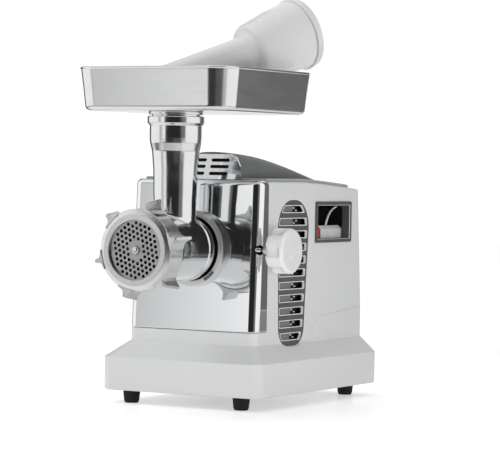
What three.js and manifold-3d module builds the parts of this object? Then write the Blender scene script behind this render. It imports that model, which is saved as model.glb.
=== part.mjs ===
// Electric meat grinder, in millimetres, +Z up.
// The head points along -Y, the switches and the lock knob are on the +X side.
// It is drawn with z = 0 on the table and y = 0 at the front panel, and the whole
// group is centred on its own footprint at the end.

import * as THREE from 'three';
import { mergeVertices } from 'three/addons/utils/BufferGeometryUtils.js';
import Module from 'manifold-3d';

const wasm = await Module();
wasm.setup();

// ---------------------------------------------------------------- driving dimensions

const GAP = 0.3; // clearance between pieces that touch
const AXIS_Z = 170; // height of the head's axis above the table

const BODY = {
  halfWidth: 79,
  frontY: 22.3, // where the white shell meets the chrome front
  backTopY: 235.4,
  backY: 246.4,
  topZ: 243.3,
  dropFrom: 100, // the top starts to fall here, going back
  drop: 7.8, // and is this much lower at the back
  wall: 3,
  backRadius: 5,
  frontRadius: 9,
};

const SKIRT = {
  halfWidth: 99,
  frontY: -30,
  backY: 253,
  bottomZ: 14,
  topZ: 50,
  chamferTopZ: 67,
  shelfZ: 81.4, // the chrome front stands on this ledge
  ledgeY: -3.6,
  radius: 14,
};

const FOOT = { x: 68.7, front: -12, rear: 228, radius: 9.5, tipRadius: 8, top: 14.7 };

const FASCIA = { halfWidth: 79.5, depth: 22, radius: 10, wall: 1.2, top: 244, rake: 0.04, hole: 34 };

const SOCKET = { outer: 41, mouth: 34.6, sleeve: 33.7, bore: 32.3, front: -9, back: 24 };

const RING = { front: -121, back: -93, outer: 43, inner: 40.2, opening: 31.6, lip: 3 };

const WING = {
  count: 6,
  turn: 15,
  front: -119.5,
  back: -93.5,
  frontReach: 51,
  backReach: 55.2,
  half: 1.7,
  foot: 41.4, // the wings start inside the ring
  root: 4.6,
  rootReach: 44.2,
};

const HEAD = {
  front: -117.4,
  thread: 39.6,
  seat: 35.3, // counterbore that holds the plate
  seatBack: -110.2,
  bore: 33,
  boreBack: 28.5,
  neck: 31.6,
  back: 18,
  innerBack: -12,
  shaftBore: 11,
};

const THROAT = { y: -41, bore: 20.6, top: 141, flange: 30.5, mouth: 26.6, mouthDepth: 7.3 };

const PLATE = {
  radius: 35,
  front: -117.7,
  back: -110.7,
  pitch: 5.6,
  hole: 1.9,
  pinBore: 4.6,
  clear: 9,
  reach: 28.6,
  turn: -20,
};

const BLADE = { hub: 11, back: -104.5, square: 5.3, arms: 4 };

const AUGER = { front: -103, back: -15, turns: 2.75, core: 13, frontTip: 31.6, backTip: 27.4 };

const TRAY = {
  halfWidth: 96.2,
  frontY: -99.9,
  backY: 100.5,
  radius: 26.4,
  rimZ: 362,
  bottomZ: 315.8,
  draft: 4.6,
  wall: 1.5,
  neckBottom: 312.5,
  neck: 29,
  spigot: 26,
  spigotBottom: 304.3,
};

// The pusher lies in the tray: its tip on the floor, its stem on the back rim.
const PUSHER = {
  rimCentre: [33.5, 160.6, 408.2],
  heading: 26.5, // degrees from +Y towards +X
  tilt: 19.4, // degrees up
  cup: 39.3,
  shoulder: 30.5,
  cupLength: 67,
  stem: 19.4,
  stemLength: 139,
  wall: 2.2,
  cap: 41.5,
  capThickness: 8,
};

const KNOB = { y: 6.2, hub: 88, back: 96, face: 118, radius: 24.2, lobes: 6, screw: 4, screwTip: 33.2 };

const GRILLE = { baseY: 22, baseZ: 244.7, height: 29.5, rake: 20, halfTop: 30, halfBase: 44, thickness: 3 };

const DOME = { halfBase: 40, halfTop: 28, front: 19, back: 219, height: 27.6, fallFrom: 31, wall: 2.2 };

const VENT = { y0: 42, y1: 117, y2: 48, y3: 110, top: 223.4, bottom: 64, slots: 11, pitch: 13.9 };

const SWITCH = { y0: 129, y1: 214, z0: 176, z1: 221, frame: 3.4, outer: 80.6, wellX: 52, faceX: 70 };

const KEY = { count: 4, y0: 143, pitch: 16.4, width: 15.6, z0: 179.2, z1: 194.5, pivotX: 44, pivotZ: 187 };

// Gear train: motor pinion, two compound shafts and the output wheel, each step 8 to 32 teeth.
const GEARS = { pinion: 8, wheel: 32, modules: [1.5625, 1.875, 2.5] };
const LAYER = { output: 42, second: 60, first: 76 }; // front of each step of the train
const OUTPUT_AT = [0, AXIS_Z];
const SECOND_AT = [-28, AXIS_Z - Math.sqrt(50 ** 2 - 28 ** 2)];
const MOTOR_AT = [0, 80];
const MOTOR = { stator: 42, front: 112, back: 166, rotor: 23, shaft: 4, shaftBack: 206, bore: 4.2 };
const COIL = { x: 27, half: 4.6, reach: 23.6, bend: 12, overhang: 5 };
const FAN = { front: 97.5, disc: 99.5, back: 107, hub: 9, radius: 31, blades: 8 };
const BRUSH = { front: 174, back: 180.5, half: 3.5, from: 11.3, to: 27, holderFrom: 13, holderTo: 31 };
const CASE = { front: 33.8, inside: 92, back: 95, wall: 3, post: 6 };
const BASE_PLATE = { bottom: 15, top: 18.5, slots: 4, slotY: 60, slotPitch: 20, slotWidth: 5, slotHalf: 30 };
const SCREW_POST = { x: 84, front: 20, rear: 210, radius: 5.5, bore: 1.9, top: 57 };
const CORD = { x: 45, z: 95, hole: 7.5 }; // where the mains lead comes out at the back
const TOP_PLATE = { inset: 2.5, back: 228, rise: 3.2, radius: 22, notchHalf: 44.8, notchBack: 28 };
const TOP_OPENING = { half: 34.5, back: 189.5 }; // in the top plate, under the dome
const PLAQUE = {
  outline: [[122, 60], [143.5, 94], [240, 101], [240, 60]],
  sink: 1.5,
  rise: 1.2,
  low: 68,
  back: 234,
};

// ---------------------------------------------------------------- materials

const finish = (color, roughness, metalness) => ({ color, roughness, metalness });
const WHITE = finish('#eceded', 0.42, 0);
const PALE = finish('#f4f5f4', 0.3, 0);
const LIGHT_GREY = finish('#c6c9cb', 0.45, 0);
const GREY = finish('#7c8084', 0.5, 0);
const DARK = finish('#3b3d40', 0.5, 0);
const BLACK = finish('#0e0f10', 0.2, 0);
const RED = finish('#c3161c', 0.35, 0);
const RUBBER = finish('#1b1c1d', 0.85, 0);
const CHROME = finish('#e6e8ea', 0.04, 1);
const ALUMINIUM = finish('#c9cccf', 0.28, 1);
const STEEL = finish('#bfc2c5', 0.22, 1);
const IRON = finish('#6d7074', 0.45, 1);
const COPPER = finish('#b8693c', 0.35, 1);
const NYLON = finish('#e9e6da', 0.5, 0);
const BRASS = finish('#c9a857', 0.3, 1);

// ---------------------------------------------------------------- solids

// A closed mesh becomes a manifold solid with its faces pointing out.
function solid(source) {
  let geometry = source.clone();
  geometry.deleteAttribute('normal');
  geometry.deleteAttribute('uv');
  geometry.clearGroups();
  geometry = mergeVertices(geometry, 1e-4);
  const vertices = geometry.attributes.position.array;
  const index = geometry.index.array;
  const triangles = [];
  let volume = 0;
  const corner = [new THREE.Vector3(), new THREE.Vector3(), new THREE.Vector3()];
  for (let i = 0; i < index.length; i += 3) {
    const [a, b, c] = index.slice(i, i + 3);
    if (a === b || b === c || c === a) continue;
    triangles.push(a, b, c);
    [a, b, c].forEach((k, n) => corner[n].fromArray(vertices, 3 * k));
    volume += corner[0].dot(corner[1].clone().cross(corner[2]));
  }
  if (volume < 0) {
    for (let i = 0; i < triangles.length; i += 3) {
      [triangles[i], triangles[i + 1]] = [triangles[i + 1], triangles[i]];
    }
  }
  const mesh = new wasm.Mesh({
    numProp: 3,
    vertProperties: Float32Array.from(vertices),
    triVerts: Uint32Array.from(triangles),
  });
  return new wasm.Manifold(mesh);
}

// The finished solid becomes a three.js geometry again.
function toGeometry(body) {
  const mesh = body.getMesh();
  const geometry = new THREE.BufferGeometry();
  geometry.setAttribute('position', new THREE.BufferAttribute(mesh.vertProperties, 3));
  geometry.setIndex(new THREE.BufferAttribute(mesh.triVerts, 1));
  geometry.computeVertexNormals();
  return geometry;
}

const join = (first, ...rest) => rest.reduce((sum, one) => sum.add(one), first);
const cut = (first, ...rest) => rest.reduce((sum, one) => sum.subtract(one), first);

function box(x0, x1, y0, y1, z0, z1) {
  const geometry = new THREE.BoxGeometry(x1 - x0, y1 - y0, z1 - z0);
  return solid(geometry.translate((x0 + x1) / 2, (y0 + y1) / 2, (z0 + z1) / 2));
}

// Turns a geometry made along its own Y axis so that it runs along x, y or z.
function aim(geometry, axis) {
  if (axis === 'x') return geometry.rotateZ(-Math.PI / 2);
  if (axis === 'z') return geometry.rotateX(Math.PI / 2);
  return geometry;
}

// Turned piece: the profile is a list of [radius, distance along the axis].
function turned(profile, axis, [x, y, z], segments = 32) {
  const points = profile.map(([radius, along]) => new THREE.Vector2(radius, along));
  if (profile[0][0] > 0) points.push(points[0].clone());
  const geometry = new THREE.LatheGeometry(points, segments);
  return solid(aim(geometry, axis).translate(x, y, z));
}

function rod(radius, from, to, axis, at, segments = 16) {
  return turned([[0, from], [radius, from], [radius, to], [0, to]], axis, at, segments);
}

function tube(outer, inner, from, to, axis, at, segments = 28) {
  return turned([[inner, from], [outer, from], [outer, to], [inner, to]], axis, at, segments);
}

// A flat outline made thick along one axis. Along x it is drawn in (y, z), along y in (x, z).
function extruded(shape, axis, from, to, { steps = 1, curveSegments = 5 } = {}) {
  const depth = to - from;
  const geometry = new THREE.ExtrudeGeometry(shape, { depth, steps, curveSegments, bevelEnabled: false });
  if (axis === 'x') {
    const turn = new THREE.Matrix4().set(0, 0, 1, from, 1, 0, 0, 0, 0, 1, 0, 0, 0, 0, 0, 1);
    return geometry.applyMatrix4(turn);
  }
  if (axis === 'y') return geometry.rotateX(Math.PI / 2).translate(0, to, 0);
  return geometry.translate(0, 0, from);
}

// Moves every vertex of a geometry by a function of its place.
function warp(geometry, move) {
  const position = geometry.attributes.position;
  const point = new THREE.Vector3();
  for (let i = 0; i < position.count; i += 1) {
    point.fromBufferAttribute(position, i);
    move(point);
    position.setXYZ(i, point.x, point.y, point.z);
  }
  return geometry;
}

const polygon = (points) => new THREE.Shape(points.map(([u, v]) => new THREE.Vector2(u, v)));

// Rectangle with one radius at its low-v corners and another at its high-v corners.
function roundedRect(u0, u1, v0, v1, lowRadius, highRadius = lowRadius) {
  const shape = new THREE.Shape();
  shape.absarc(u0 + lowRadius, v0 + lowRadius, lowRadius, Math.PI, 1.5 * Math.PI);
  shape.absarc(u1 - lowRadius, v0 + lowRadius, lowRadius, 1.5 * Math.PI, 2 * Math.PI);
  shape.absarc(u1 - highRadius, v1 - highRadius, highRadius, 0, 0.5 * Math.PI);
  shape.absarc(u0 + highRadius, v1 - highRadius, highRadius, 0.5 * Math.PI, Math.PI);
  return shape;
}

// A stack of rounded rectangles, one per level, skinned and capped.
function loft(levels, curveSegments = 3) {
  const steps = levels.length - 1;
  const outlines = levels.map(({ x, y0, y1, front, back }) =>
    roundedRect(-x, x, y0, y1, front, back).extractPoints(curveSegments).shape);
  const count = outlines[0].length;
  const vertices = [];
  const index = [];
  outlines.forEach((outline, level) => {
    outline.forEach((point) => vertices.push(point.x, point.y, levels[level].z));
  });
  for (let level = 0; level < steps; level += 1) {
    for (let i = 0; i < count; i += 1) {
      const a = level * count + i;
      const b = level * count + ((i + 1) % count);
      index.push(a, b, b + count, a, b + count, a + count);
    }
  }
  for (let i = 1; i < count - 1; i += 1) {
    index.push(0, i + 1, i);
    index.push(steps * count, steps * count + i, steps * count + i + 1);
  }
  const geometry = new THREE.BufferGeometry();
  geometry.setAttribute('position', new THREE.Float32BufferAttribute(vertices, 3));
  geometry.setIndex(index);
  return solid(geometry);
}

// ---------------------------------------------------------------- the group and its pieces

const grinder = new THREE.Group();

function add(name, body, { color, roughness, metalness }) {
  const material = new THREE.MeshStandardMaterial({ color, roughness, metalness, flatShading: true });
  const mesh = new THREE.Mesh(toGeometry(body), material);
  mesh.name = name;
  grinder.add(mesh);
  return mesh;
}

const onAxis = [0, 0, AXIS_Z];
const sides = [-1, 1];

// How far the top surface has fallen at y.
function topDrop(y) {
  const part = THREE.MathUtils.clamp((y - BODY.dropFrom) / (BODY.backTopY - BODY.dropFrom), 0, 1.2);
  return BODY.drop * part ** 1.35;
}

// Side outline under (or over) the falling top line, from z0 to the top plus lift.
function underTop(lift, z0, y0, y1) {
  const points = [[y0, z0], [y1, z0]];
  for (let y = y1; y > y0; y -= 22) points.push([y, BODY.topZ + lift - topDrop(y)]);
  points.push([y0, BODY.topZ + lift - topDrop(y0)]);
  return polygon(points);
}

// ---------------------------------------------------------------- casing

function ventOutline(margin) {
  const { y0, y1, y2, y3, top, bottom } = VENT;
  const high = 30 + margin;
  const low = 18 + margin;
  const [left, right, lowLeft, lowRight] = [y0 - margin, y1 + margin, y2 - margin, y3 + margin];
  const shape = new THREE.Shape();
  shape.absarc(right - high, top + margin - high, high, 0, Math.PI / 2);
  shape.absarc(left + high, top + margin - high, high, Math.PI / 2, Math.PI);
  shape.absarc(lowLeft + low, bottom - margin + low, low, Math.PI, 1.5 * Math.PI);
  shape.absarc(lowRight - low, bottom - margin + low, low, 1.5 * Math.PI, 2 * Math.PI);
  return shape;
}

// The four corners of the base, seen from above, for the screws and the feet.
const corners = [['front_left', -1, 'front'], ['front_right', 1, 'front'], ['rear_left', -1, 'rear'],
  ['rear_right', 1, 'rear']];
const screwPosts = corners.map(([, side, end]) => [side * SCREW_POST.x, SCREW_POST[end]]);

function housingLevels(inset) {
  const { halfWidth, backY, backTopY, frontRadius, backRadius } = BODY;
  const x = halfWidth - inset;
  const upper = [
    { z: SKIRT.chamferTopZ + inset, x, y0: BODY.frontY, y1: backY - inset },
    { z: 102, x, y0: BODY.frontY, y1: backY - inset },
    { z: 262, x, y0: BODY.frontY, y1: backTopY - 1.5 - inset },
  ];
  const lower = [
    { z: SKIRT.bottomZ, x: SKIRT.halfWidth - inset, y0: SKIRT.frontY + inset, y1: SKIRT.backY - inset },
    { z: SKIRT.topZ, x: SKIRT.halfWidth - inset, y0: SKIRT.frontY + inset, y1: SKIRT.backY - inset },
    { z: SKIRT.chamferTopZ, x, y0: SKIRT.ledgeY + inset, y1: backY - inset },
    { z: SKIRT.shelfZ - inset, x, y0: SKIRT.ledgeY + inset, y1: backY - inset },
  ];
  upper.forEach((level) => Object.assign(level, { front: 0.8, back: backRadius - inset }));
  lower.forEach((level, i) => {
    const radius = i < 2 ? SKIRT.radius : frontRadius;
    Object.assign(level, { front: radius - inset, back: (i < 2 ? SKIRT.radius : backRadius) - inset });
  });
  return { upper, lower };
}

function mainHousing() {
  const outer = housingLevels(0);
  const inner = housingLevels(BODY.wall);
  inner.lower[0].z = SKIRT.bottomZ - 5;
  inner.upper.forEach((level) => {
    level.y0 = BODY.frontY - 10;
  });
  const under = solid(extruded(underTop(0, 0, -60, 270), 'x', -120, 120));
  const roof = solid(extruded(underTop(-BODY.wall, 0, -60, 270), 'x', -120, 120));
  let shell = join(loft(outer.upper).intersect(under), loft(outer.lower));
  shell = cut(shell, loft(inner.upper).intersect(roof), loft(inner.lower));
  // The two hollows meet, and the front edge of the ledge stays whole.
  const { halfWidth, wall, frontY } = BODY;
  shell = cut(shell, box(wall - halfWidth, halfWidth - wall, frontY, 226, SKIRT.topZ, SKIRT.shelfZ + 5));
  const hatch = TOP_OPENING.half + 0.5;
  shell = cut(shell, box(-hatch, hatch, 10, TOP_OPENING.back + 0.5, 230, 260));
  for (const side of sides) {
    const [from, to] = side > 0 ? [70, 85] : [-85, -70];
    shell = cut(shell, solid(extruded(ventOutline(GAP), 'x', from, to)));
  }
  const { y0, y1, z0, z1 } = SWITCH;
  shell = cut(shell, box(70, 85, y0 - GAP, y1 + GAP, z0 - GAP, z1 + GAP));
  shell = cut(shell, rod(CORD.hole, 225, 260, 'y', [CORD.x, 0, CORD.z]));
  const { radius, bore, top } = SCREW_POST;
  for (const [x, y] of screwPosts) {
    const post = tube(radius, bore, BASE_PLATE.top + GAP, top, 'z', [x, y, 0], 8);
    shell = join(shell, post);
  }
  const { outline, sink, rise, low, back } = PLAQUE;
  const plaque = solid(extruded(polygon(outline), 'x', halfWidth - sink, halfWidth + rise));
  return join(shell, plaque.intersect(box(0, 90, 100, back, low, 120)));
}

function basePlate() {
  const edge = BODY.wall + GAP;
  const { halfWidth, frontY, backY, radius } = SKIRT;
  const half = halfWidth - edge;
  const outline = roundedRect(-half, half, frontY + edge, backY - edge, radius - edge);
  const { bottom, top, slots, slotY, slotPitch, slotWidth, slotHalf } = BASE_PLATE;
  let plate = solid(extruded(outline, 'z', bottom, top));
  for (const [x, y] of screwPosts) plate = cut(plate, rod(SCREW_POST.bore + 0.2, 10, 25, 'z', [x, y, 0], 10));
  for (let row = 0; row < slots; row += 1) {
    const y = slotY + row * slotPitch;
    plate = cut(plate, box(-slotHalf, slotHalf, y, y + slotWidth, bottom - 5, top + 5));
  }
  // Two saddles carry the motor.
  for (const y of [MOTOR.front + 8, MOTOR.back - 12]) {
    const saddle = box(-26, 26, y, y + 5, top - 0.5, MOTOR_AT[1] - 20);
    const seat = rod(MOTOR.stator + GAP, y - 2, y + 8, 'y', [0, 0, MOTOR_AT[1]], 36);
    plate = join(plate, cut(saddle, seat));
  }
  return plate;
}

function rubberFoot(side, end) {
  const profile = [[0, 0], [FOOT.tipRadius, 0], [FOOT.radius, 2.5], [FOOT.radius, FOOT.top], [0, FOOT.top]];
  return turned(profile, 'z', [side * FOOT.x, FOOT[end], 0], 14);
}

function baseScrew(side, end) {
  const profile = [[0, 11.6], [3, 11.6], [4, 12.6], [4, 14.7], [1.6, 14.7], [1.6, 40], [0, 40]];
  return turned(profile, 'z', [side * SCREW_POST.x, SCREW_POST[end], 0], 8);
}

function frontFascia() {
  const { halfWidth, depth, radius, wall, top, rake, hole } = FASCIA;
  const bottom = SKIRT.shelfZ + GAP;
  const lean = (point) => {
    point.y += rake * (point.z - AXIS_Z) * Math.max(0, 1 - point.y / depth);
  };
  const outer = roundedRect(-halfWidth, halfWidth, 0, depth + 20, radius, 1);
  const inner = roundedRect(wall - halfWidth, halfWidth - wall, wall, depth + 30, radius - wall, 1);
  const shell = solid(warp(extruded(outer, 'z', bottom, top), lean));
  const hollow = solid(warp(extruded(inner, 'z', bottom - 5, top - wall), lean));
  const front = cut(shell, hollow, box(-100, 100, depth, 100, 0, 400));
  const screwHole = rod(KNOB.screw + 0.8, 60, 90, 'x', [0, KNOB.y, AXIS_Z], 16);
  return cut(front, rod(hole, -20, 20, 'y', onAxis, 36), screwHole);
}

function headSocket() {
  const { outer, mouth, sleeve, bore, front, back } = SOCKET;
  const lean = (point) => {
    if (point.y > -3) point.y += FASCIA.rake * point.z;
  };
  const rim = [[mouth, front + 0.8], [mouth + 0.8, front], [outer - 1, front], [outer, front + 1],
    [outer, -0.4], [mouth, -0.4], [mouth, front + 0.8]];
  const points = rim.map(([radius, along]) => new THREE.Vector2(radius, along));
  const flange = solid(warp(new THREE.LatheGeometry(points, 36), lean).translate(0, 0, AXIS_Z));
  const body = turned([[bore, -3.6], [mouth + 0.4, -3.6], [sleeve, -2.4], [sleeve, back], [bore, back]],
    'y', onAxis, 36);
  const boss = cut(rod(8, SOCKET.bore + 0.6, 70, 'x', [0, KNOB.y + 2, AXIS_Z]),
    box(0, 100, -20, FASCIA.wall + 0.7, 0, 300));
  const screwHole = rod(KNOB.screw + GAP, 20, 90, 'x', [0, KNOB.y, AXIS_Z], 10);
  const inside = rod(bore, -8, 40, 'y', onAxis, 36);
  return cut(join(flange, body, cut(boss, inside)), screwHole);
}

function ventGrille(side) {
  const face = BODY.halfWidth - 0.4;
  const [from, to] = side > 0 ? [face - 3, face] : [-face, -face + 3];
  let grille = solid(extruded(ventOutline(0), 'x', from, to));
  const { y0, y1, y2, y3, top, bottom, slots, pitch } = VENT;
  for (let i = 0; i < slots; i += 1) {
    const z = top - 10 - i * pitch;
    const down = (top - z) / (top - bottom);
    const narrow = i === 0 || i === slots - 1 ? 10 : 0;
    const start = THREE.MathUtils.lerp(y0, y2, down) + 4.5 + narrow;
    const end = THREE.MathUtils.lerp(y1, y3, down) - 4.5 - narrow;
    grille = cut(grille, box(from - 2, to + 2, start, end, z - 4.1, z + 4.1));
  }
  return grille;
}

function topPlate() {
  const { frontY } = BODY;
  const { inset, back, rise, radius, notchHalf, notchBack } = TOP_PLATE;
  const half = BODY.halfWidth - inset;
  const band = solid(extruded(underTop(rise, 200, frontY, back + 2), 'x', -half, half));
  const floor = solid(extruded(underTop(GAP, 190, frontY - 10, back + 12), 'x', -100, 100));
  const plan = roundedRect(-half, half, frontY, back, 1, radius);
  const plate = cut(band.intersect(solid(extruded(plan, 'z', 200, 300))), floor);
  const opening = box(-TOP_OPENING.half, TOP_OPENING.half, 0, TOP_OPENING.back, 200, 300);
  // The grille stands in a notch at the front edge.
  return cut(plate, opening, box(-notchHalf, notchHalf, 0, notchBack, 200, 300));
}

// Height of the dome above the top plate's line, going back.
const domeHeight = (y) => DOME.height * (1 - (Math.max(0, y - DOME.fallFrom) / 200) ** 1.9);

function domeSolid(inset) {
  const { halfBase, halfTop, front, back } = DOME;
  const [base, crown] = [halfBase - inset, halfTop - inset];
  const top = 1 - inset / 26;
  const outline = new THREE.Shape();
  outline.moveTo(-base, inset > 0 ? -0.4 : 0);
  outline.lineTo(base, inset > 0 ? -0.4 : 0);
  outline.bezierCurveTo(base - 1, top * 0.55, crown + 6, top, crown - 8, top);
  outline.lineTo(8 - crown, top);
  outline.bezierCurveTo(-crown - 6, top, 1 - base, top * 0.55, -base, inset > 0 ? -0.4 : 0);
  const lie = (point) => {
    point.z = BODY.topZ + 3.5 - topDrop(point.y) + point.z * domeHeight(point.y);
  };
  return solid(warp(extruded(outline, 'y', front, back - inset, { steps: 8, curveSegments: 5 }), lie));
}

// Half space in front of the raked plane that the vent grille stands on.
function beforeGrille(offset) {
  const block = new THREE.BoxGeometry(200, 100, 300).translate(0, -50 + offset, 0);
  block.rotateX(-THREE.MathUtils.degToRad(GRILLE.rake)).translate(0, GRILLE.baseY, GRILLE.baseZ);
  return solid(block);
}

function domeCover() {
  const hollow = cut(domeSolid(0), domeSolid(DOME.wall));
  return cut(hollow, beforeGrille(GRILLE.thickness + GAP));
}

function topVentGrille() {
  const { halfTop, halfBase, height, thickness, rake, baseY, baseZ } = GRILLE;
  const outline = new THREE.Shape();
  outline.moveTo(-halfBase, 0);
  outline.lineTo(halfBase, 0);
  outline.bezierCurveTo(halfBase - 2, height * 0.5, halfTop + 8, height, halfTop - 4, height);
  outline.lineTo(4 - halfTop, height);
  outline.bezierCurveTo(-halfTop - 8, height, 2 - halfBase, height * 0.5, -halfBase, 0);
  for (const side of sides) {
    for (const z of [6.5, 14.5, 22]) {
      const [u0, u1] = side > 0 ? [3, 26] : [-26, -3];
      outline.holes.push(roundedRect(u0, u1, z - 1.8, z + 1.8, 1.7));
    }
  }
  const plate = extruded(outline, 'y', 0, thickness, { curveSegments: 1 });
  plate.rotateX(-THREE.MathUtils.degToRad(rake)).translate(0, baseY, baseZ);
  return solid(plate);
}

// ---------------------------------------------------------------- switches

function switchBezel() {
  const { y0, y1, z0, z1, frame, outer, faceX } = SWITCH;
  const ring = cut(box(faceX + GAP, outer, y0, y1, z0, z1),
    box(0, 100, y0 + frame, y1 - frame, z0 + frame, z1 - frame));
  return ring;
}

function switchWell() {
  const { y0, y1, z0, z1, wellX, faceX } = SWITCH;
  const cup = cut(box(wellX, faceX, y0 + 1, y1 - 1, z0 - 4, z1 - 1),
    box(wellX + 2, 100, y0 + 4.8, y1 - 4.3, z0 - 1.7, z1 - 4.8));
  return cut(cup, box(0, 60, KEY.y0 - 1, KEY.y0 + KEY.count * KEY.pitch, KEY.z0 - 1.4, KEY.z1 + 1));
}

// A key reaches from its pivot inside the switch block to its thumb face.
function key(number) {
  const y0 = KEY.y0 + number * KEY.pitch;
  const side = polygon([
    [SWITCH.faceX, KEY.z0],
    [SWITCH.faceX, KEY.z1 - 4.5],
    [SWITCH.faceX - 3.5, KEY.z1],
    [SWITCH.faceX - 9, KEY.z1 - 1.6],
    [SWITCH.wellX - 1, KEY.z1 - 3],
    [SWITCH.wellX - 1, KEY.pivotZ + 3],
    [KEY.pivotX + 2.8, KEY.pivotZ + 3],
    [KEY.pivotX + 2.8, KEY.pivotZ - 3],
    [SWITCH.wellX - 1, KEY.pivotZ - 3],
    [SWITCH.wellX - 1, KEY.z0 + 1],
  ]);
  return solid(extruded(side, 'y', y0, y0 + KEY.width));
}

function switchBlock() {
  const { pivotX, pivotZ, y0, count, pitch } = KEY;
  const end = y0 + count * pitch;
  const block = box(pivotX - 22, pivotX + 2, y0 - 3, end + 2, pivotZ - 14, pivotZ + 14);
  const lugs = [];
  for (const y of [y0 - 3, end - 0.2]) {
    lugs.push(box(pivotX, SWITCH.wellX - GAP, y, y + 2.2, pivotZ - 8, pivotZ + 8));
  }
  const terminals = [];
  for (let i = 0; i < count; i += 1) {
    const y = y0 + 6 + i * pitch;
    terminals.push(box(pivotX - 30, pivotX - 21, y, y + 4, pivotZ - 1, pivotZ + 1));
  }
  return join(block, ...lugs, ...terminals);
}

function cordGland() {
  const profile = [[3.8, -7], [7.1, -7], [7.1, 1.6], [10, 2.6], [10, 5], [5.2, 6.6], [3.8, 6.6]];
  const placed = profile.map(([radius, y]) => [radius, BODY.backY + y]);
  return turned(placed, 'y', [CORD.x, 0, CORD.z], 14);
}

// ---------------------------------------------------------------- grinding head

function headBody() {
  const { front, thread, seat, seatBack, bore, boreBack, neck, back, innerBack, shaftBore } = HEAD;
  const outer = [[0, front], [thread, front], [thread, -92], [37.4, -91], [36.2, -80], [34.2, -26],
    [35.2, -23], [35.2, -19], [33.4, -17.5], [33.4, -14], [neck, -11], [neck, back], [0, back]];
  const barrel = turned(outer, 'y', onAxis, 32);
  const { y, bore: throatBore, top, flange, mouth, mouthDepth } = THROAT;
  const rise = [[0, 6], [22.8, 6], [23.4, 60], [24.8, 108], [25.6, 112], [28, 118], [28, 131],
    [flange, 134], [flange, top - 0.8], [flange - 0.8, top], [0, top]];
  const throat = turned(rise, 'z', [0, y, AXIS_Z], 24);
  const channel = [[0, front - 5], [seat, front - 5], [seat, seatBack], [bore, seatBack],
    [bore, -98], [boreBack, innerBack], [0, innerBack]];
  const chamber = turned(channel, 'y', onAxis, 32);
  const drop = turned([[0, 0], [throatBore, 0], [throatBore, top - mouthDepth], [mouth, top - mouthDepth],
    [mouth, top + 5], [0, top + 5]], 'z', [0, y, AXIS_Z], 24);
  const shaftHole = rod(shaftBore, innerBack - 5, back + 5, 'y', onAxis, 16);
  return cut(join(barrel, throat), chamber, drop, shaftHole);
}

function ringNut() {
  const { front, back, outer, inner, opening, lip } = RING;
  const profile = [[opening, front + 0.8], [opening + 0.8, front], [38, front], [outer, front + 3],
    [outer, back], [inner, back], [inner, front + lip], [opening, front + lip]];
  let ring = turned(profile, 'y', onAxis, 36);
  const radial = (frontReach, backReach) => polygon([[WING.foot, WING.front], [frontReach, WING.front],
    [backReach, WING.back], [WING.foot, WING.back]]);
  const layers = [
    { outline: radial(WING.frontReach, WING.backReach), half: WING.half },
    { outline: radial(WING.rootReach, WING.rootReach), half: WING.root },
  ];
  for (let i = 0; i < WING.count; i += 1) {
    const angle = -THREE.MathUtils.degToRad(WING.turn + (360 / WING.count) * i);
    for (const { outline, half } of layers) {
      const blade = extruded(outline, 'z', -half, half);
      ring = join(ring, solid(blade.rotateY(angle).translate(0, 0, AXIS_Z)));
    }
  }
  return ring;
}

function grindingPlate() {
  const { radius, front, back, pitch, hole, pinBore, clear, reach, turn } = PLATE;
  const disc = new THREE.Shape().absarc(0, 0, radius, 0, 2 * Math.PI);
  const around = new THREE.Vector2(0, 0);
  const bore = new THREE.Path().absarc(0, 0, pinBore, 0, 2 * Math.PI);
  const holes = [bore];
  const rowPitch = pitch * Math.sin(Math.PI / 3);
  const rows = Math.ceil(reach / rowPitch);
  for (let row = 0.5 - rows; row <= rows; row += 1) {
    for (let column = 0.5 - 2 * rows; column <= 2 * rows; column += 1) {
      const at = new THREE.Vector2((column + row / 2) * pitch, row * rowPitch);
      at.rotateAround(around, THREE.MathUtils.degToRad(turn));
      const far = at.length();
      if (far < clear || far > reach) continue;
      const ring = [];
      for (let i = 0; i < 4; i += 1) {
        const angle = (i * Math.PI) / 2;
        ring.push(new THREE.Vector2(at.x + hole * Math.cos(angle), at.y + hole * Math.sin(angle)));
      }
      holes.push(new THREE.Path(ring));
    }
  }
  disc.holes.push(...holes);
  return solid(extruded(disc, 'y', front, back, { curveSegments: 14 }).translate(0, 0, AXIS_Z));
}

function cuttingBlade() {
  const front = PLATE.back + GAP;
  const { hub, back, square, arms } = BLADE;
  let blade = rod(hub, front, back, 'y', onAxis, 16);
  const arm = polygon([[6, -5], [16, -6.5], [30.5, -5], [31.5, 1], [24, 3.5], [6, 5]]);
  for (let i = 0; i < arms; i += 1) {
    const geometry = extruded(arm, 'y', front, back - 1).rotateY((2 * Math.PI * i) / arms);
    blade = join(blade, solid(geometry.translate(0, 0, AXIS_Z)));
  }
  return cut(blade, box(-square, square, front - 5, back + 5, AXIS_Z - square, AXIS_Z + square));
}

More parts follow.
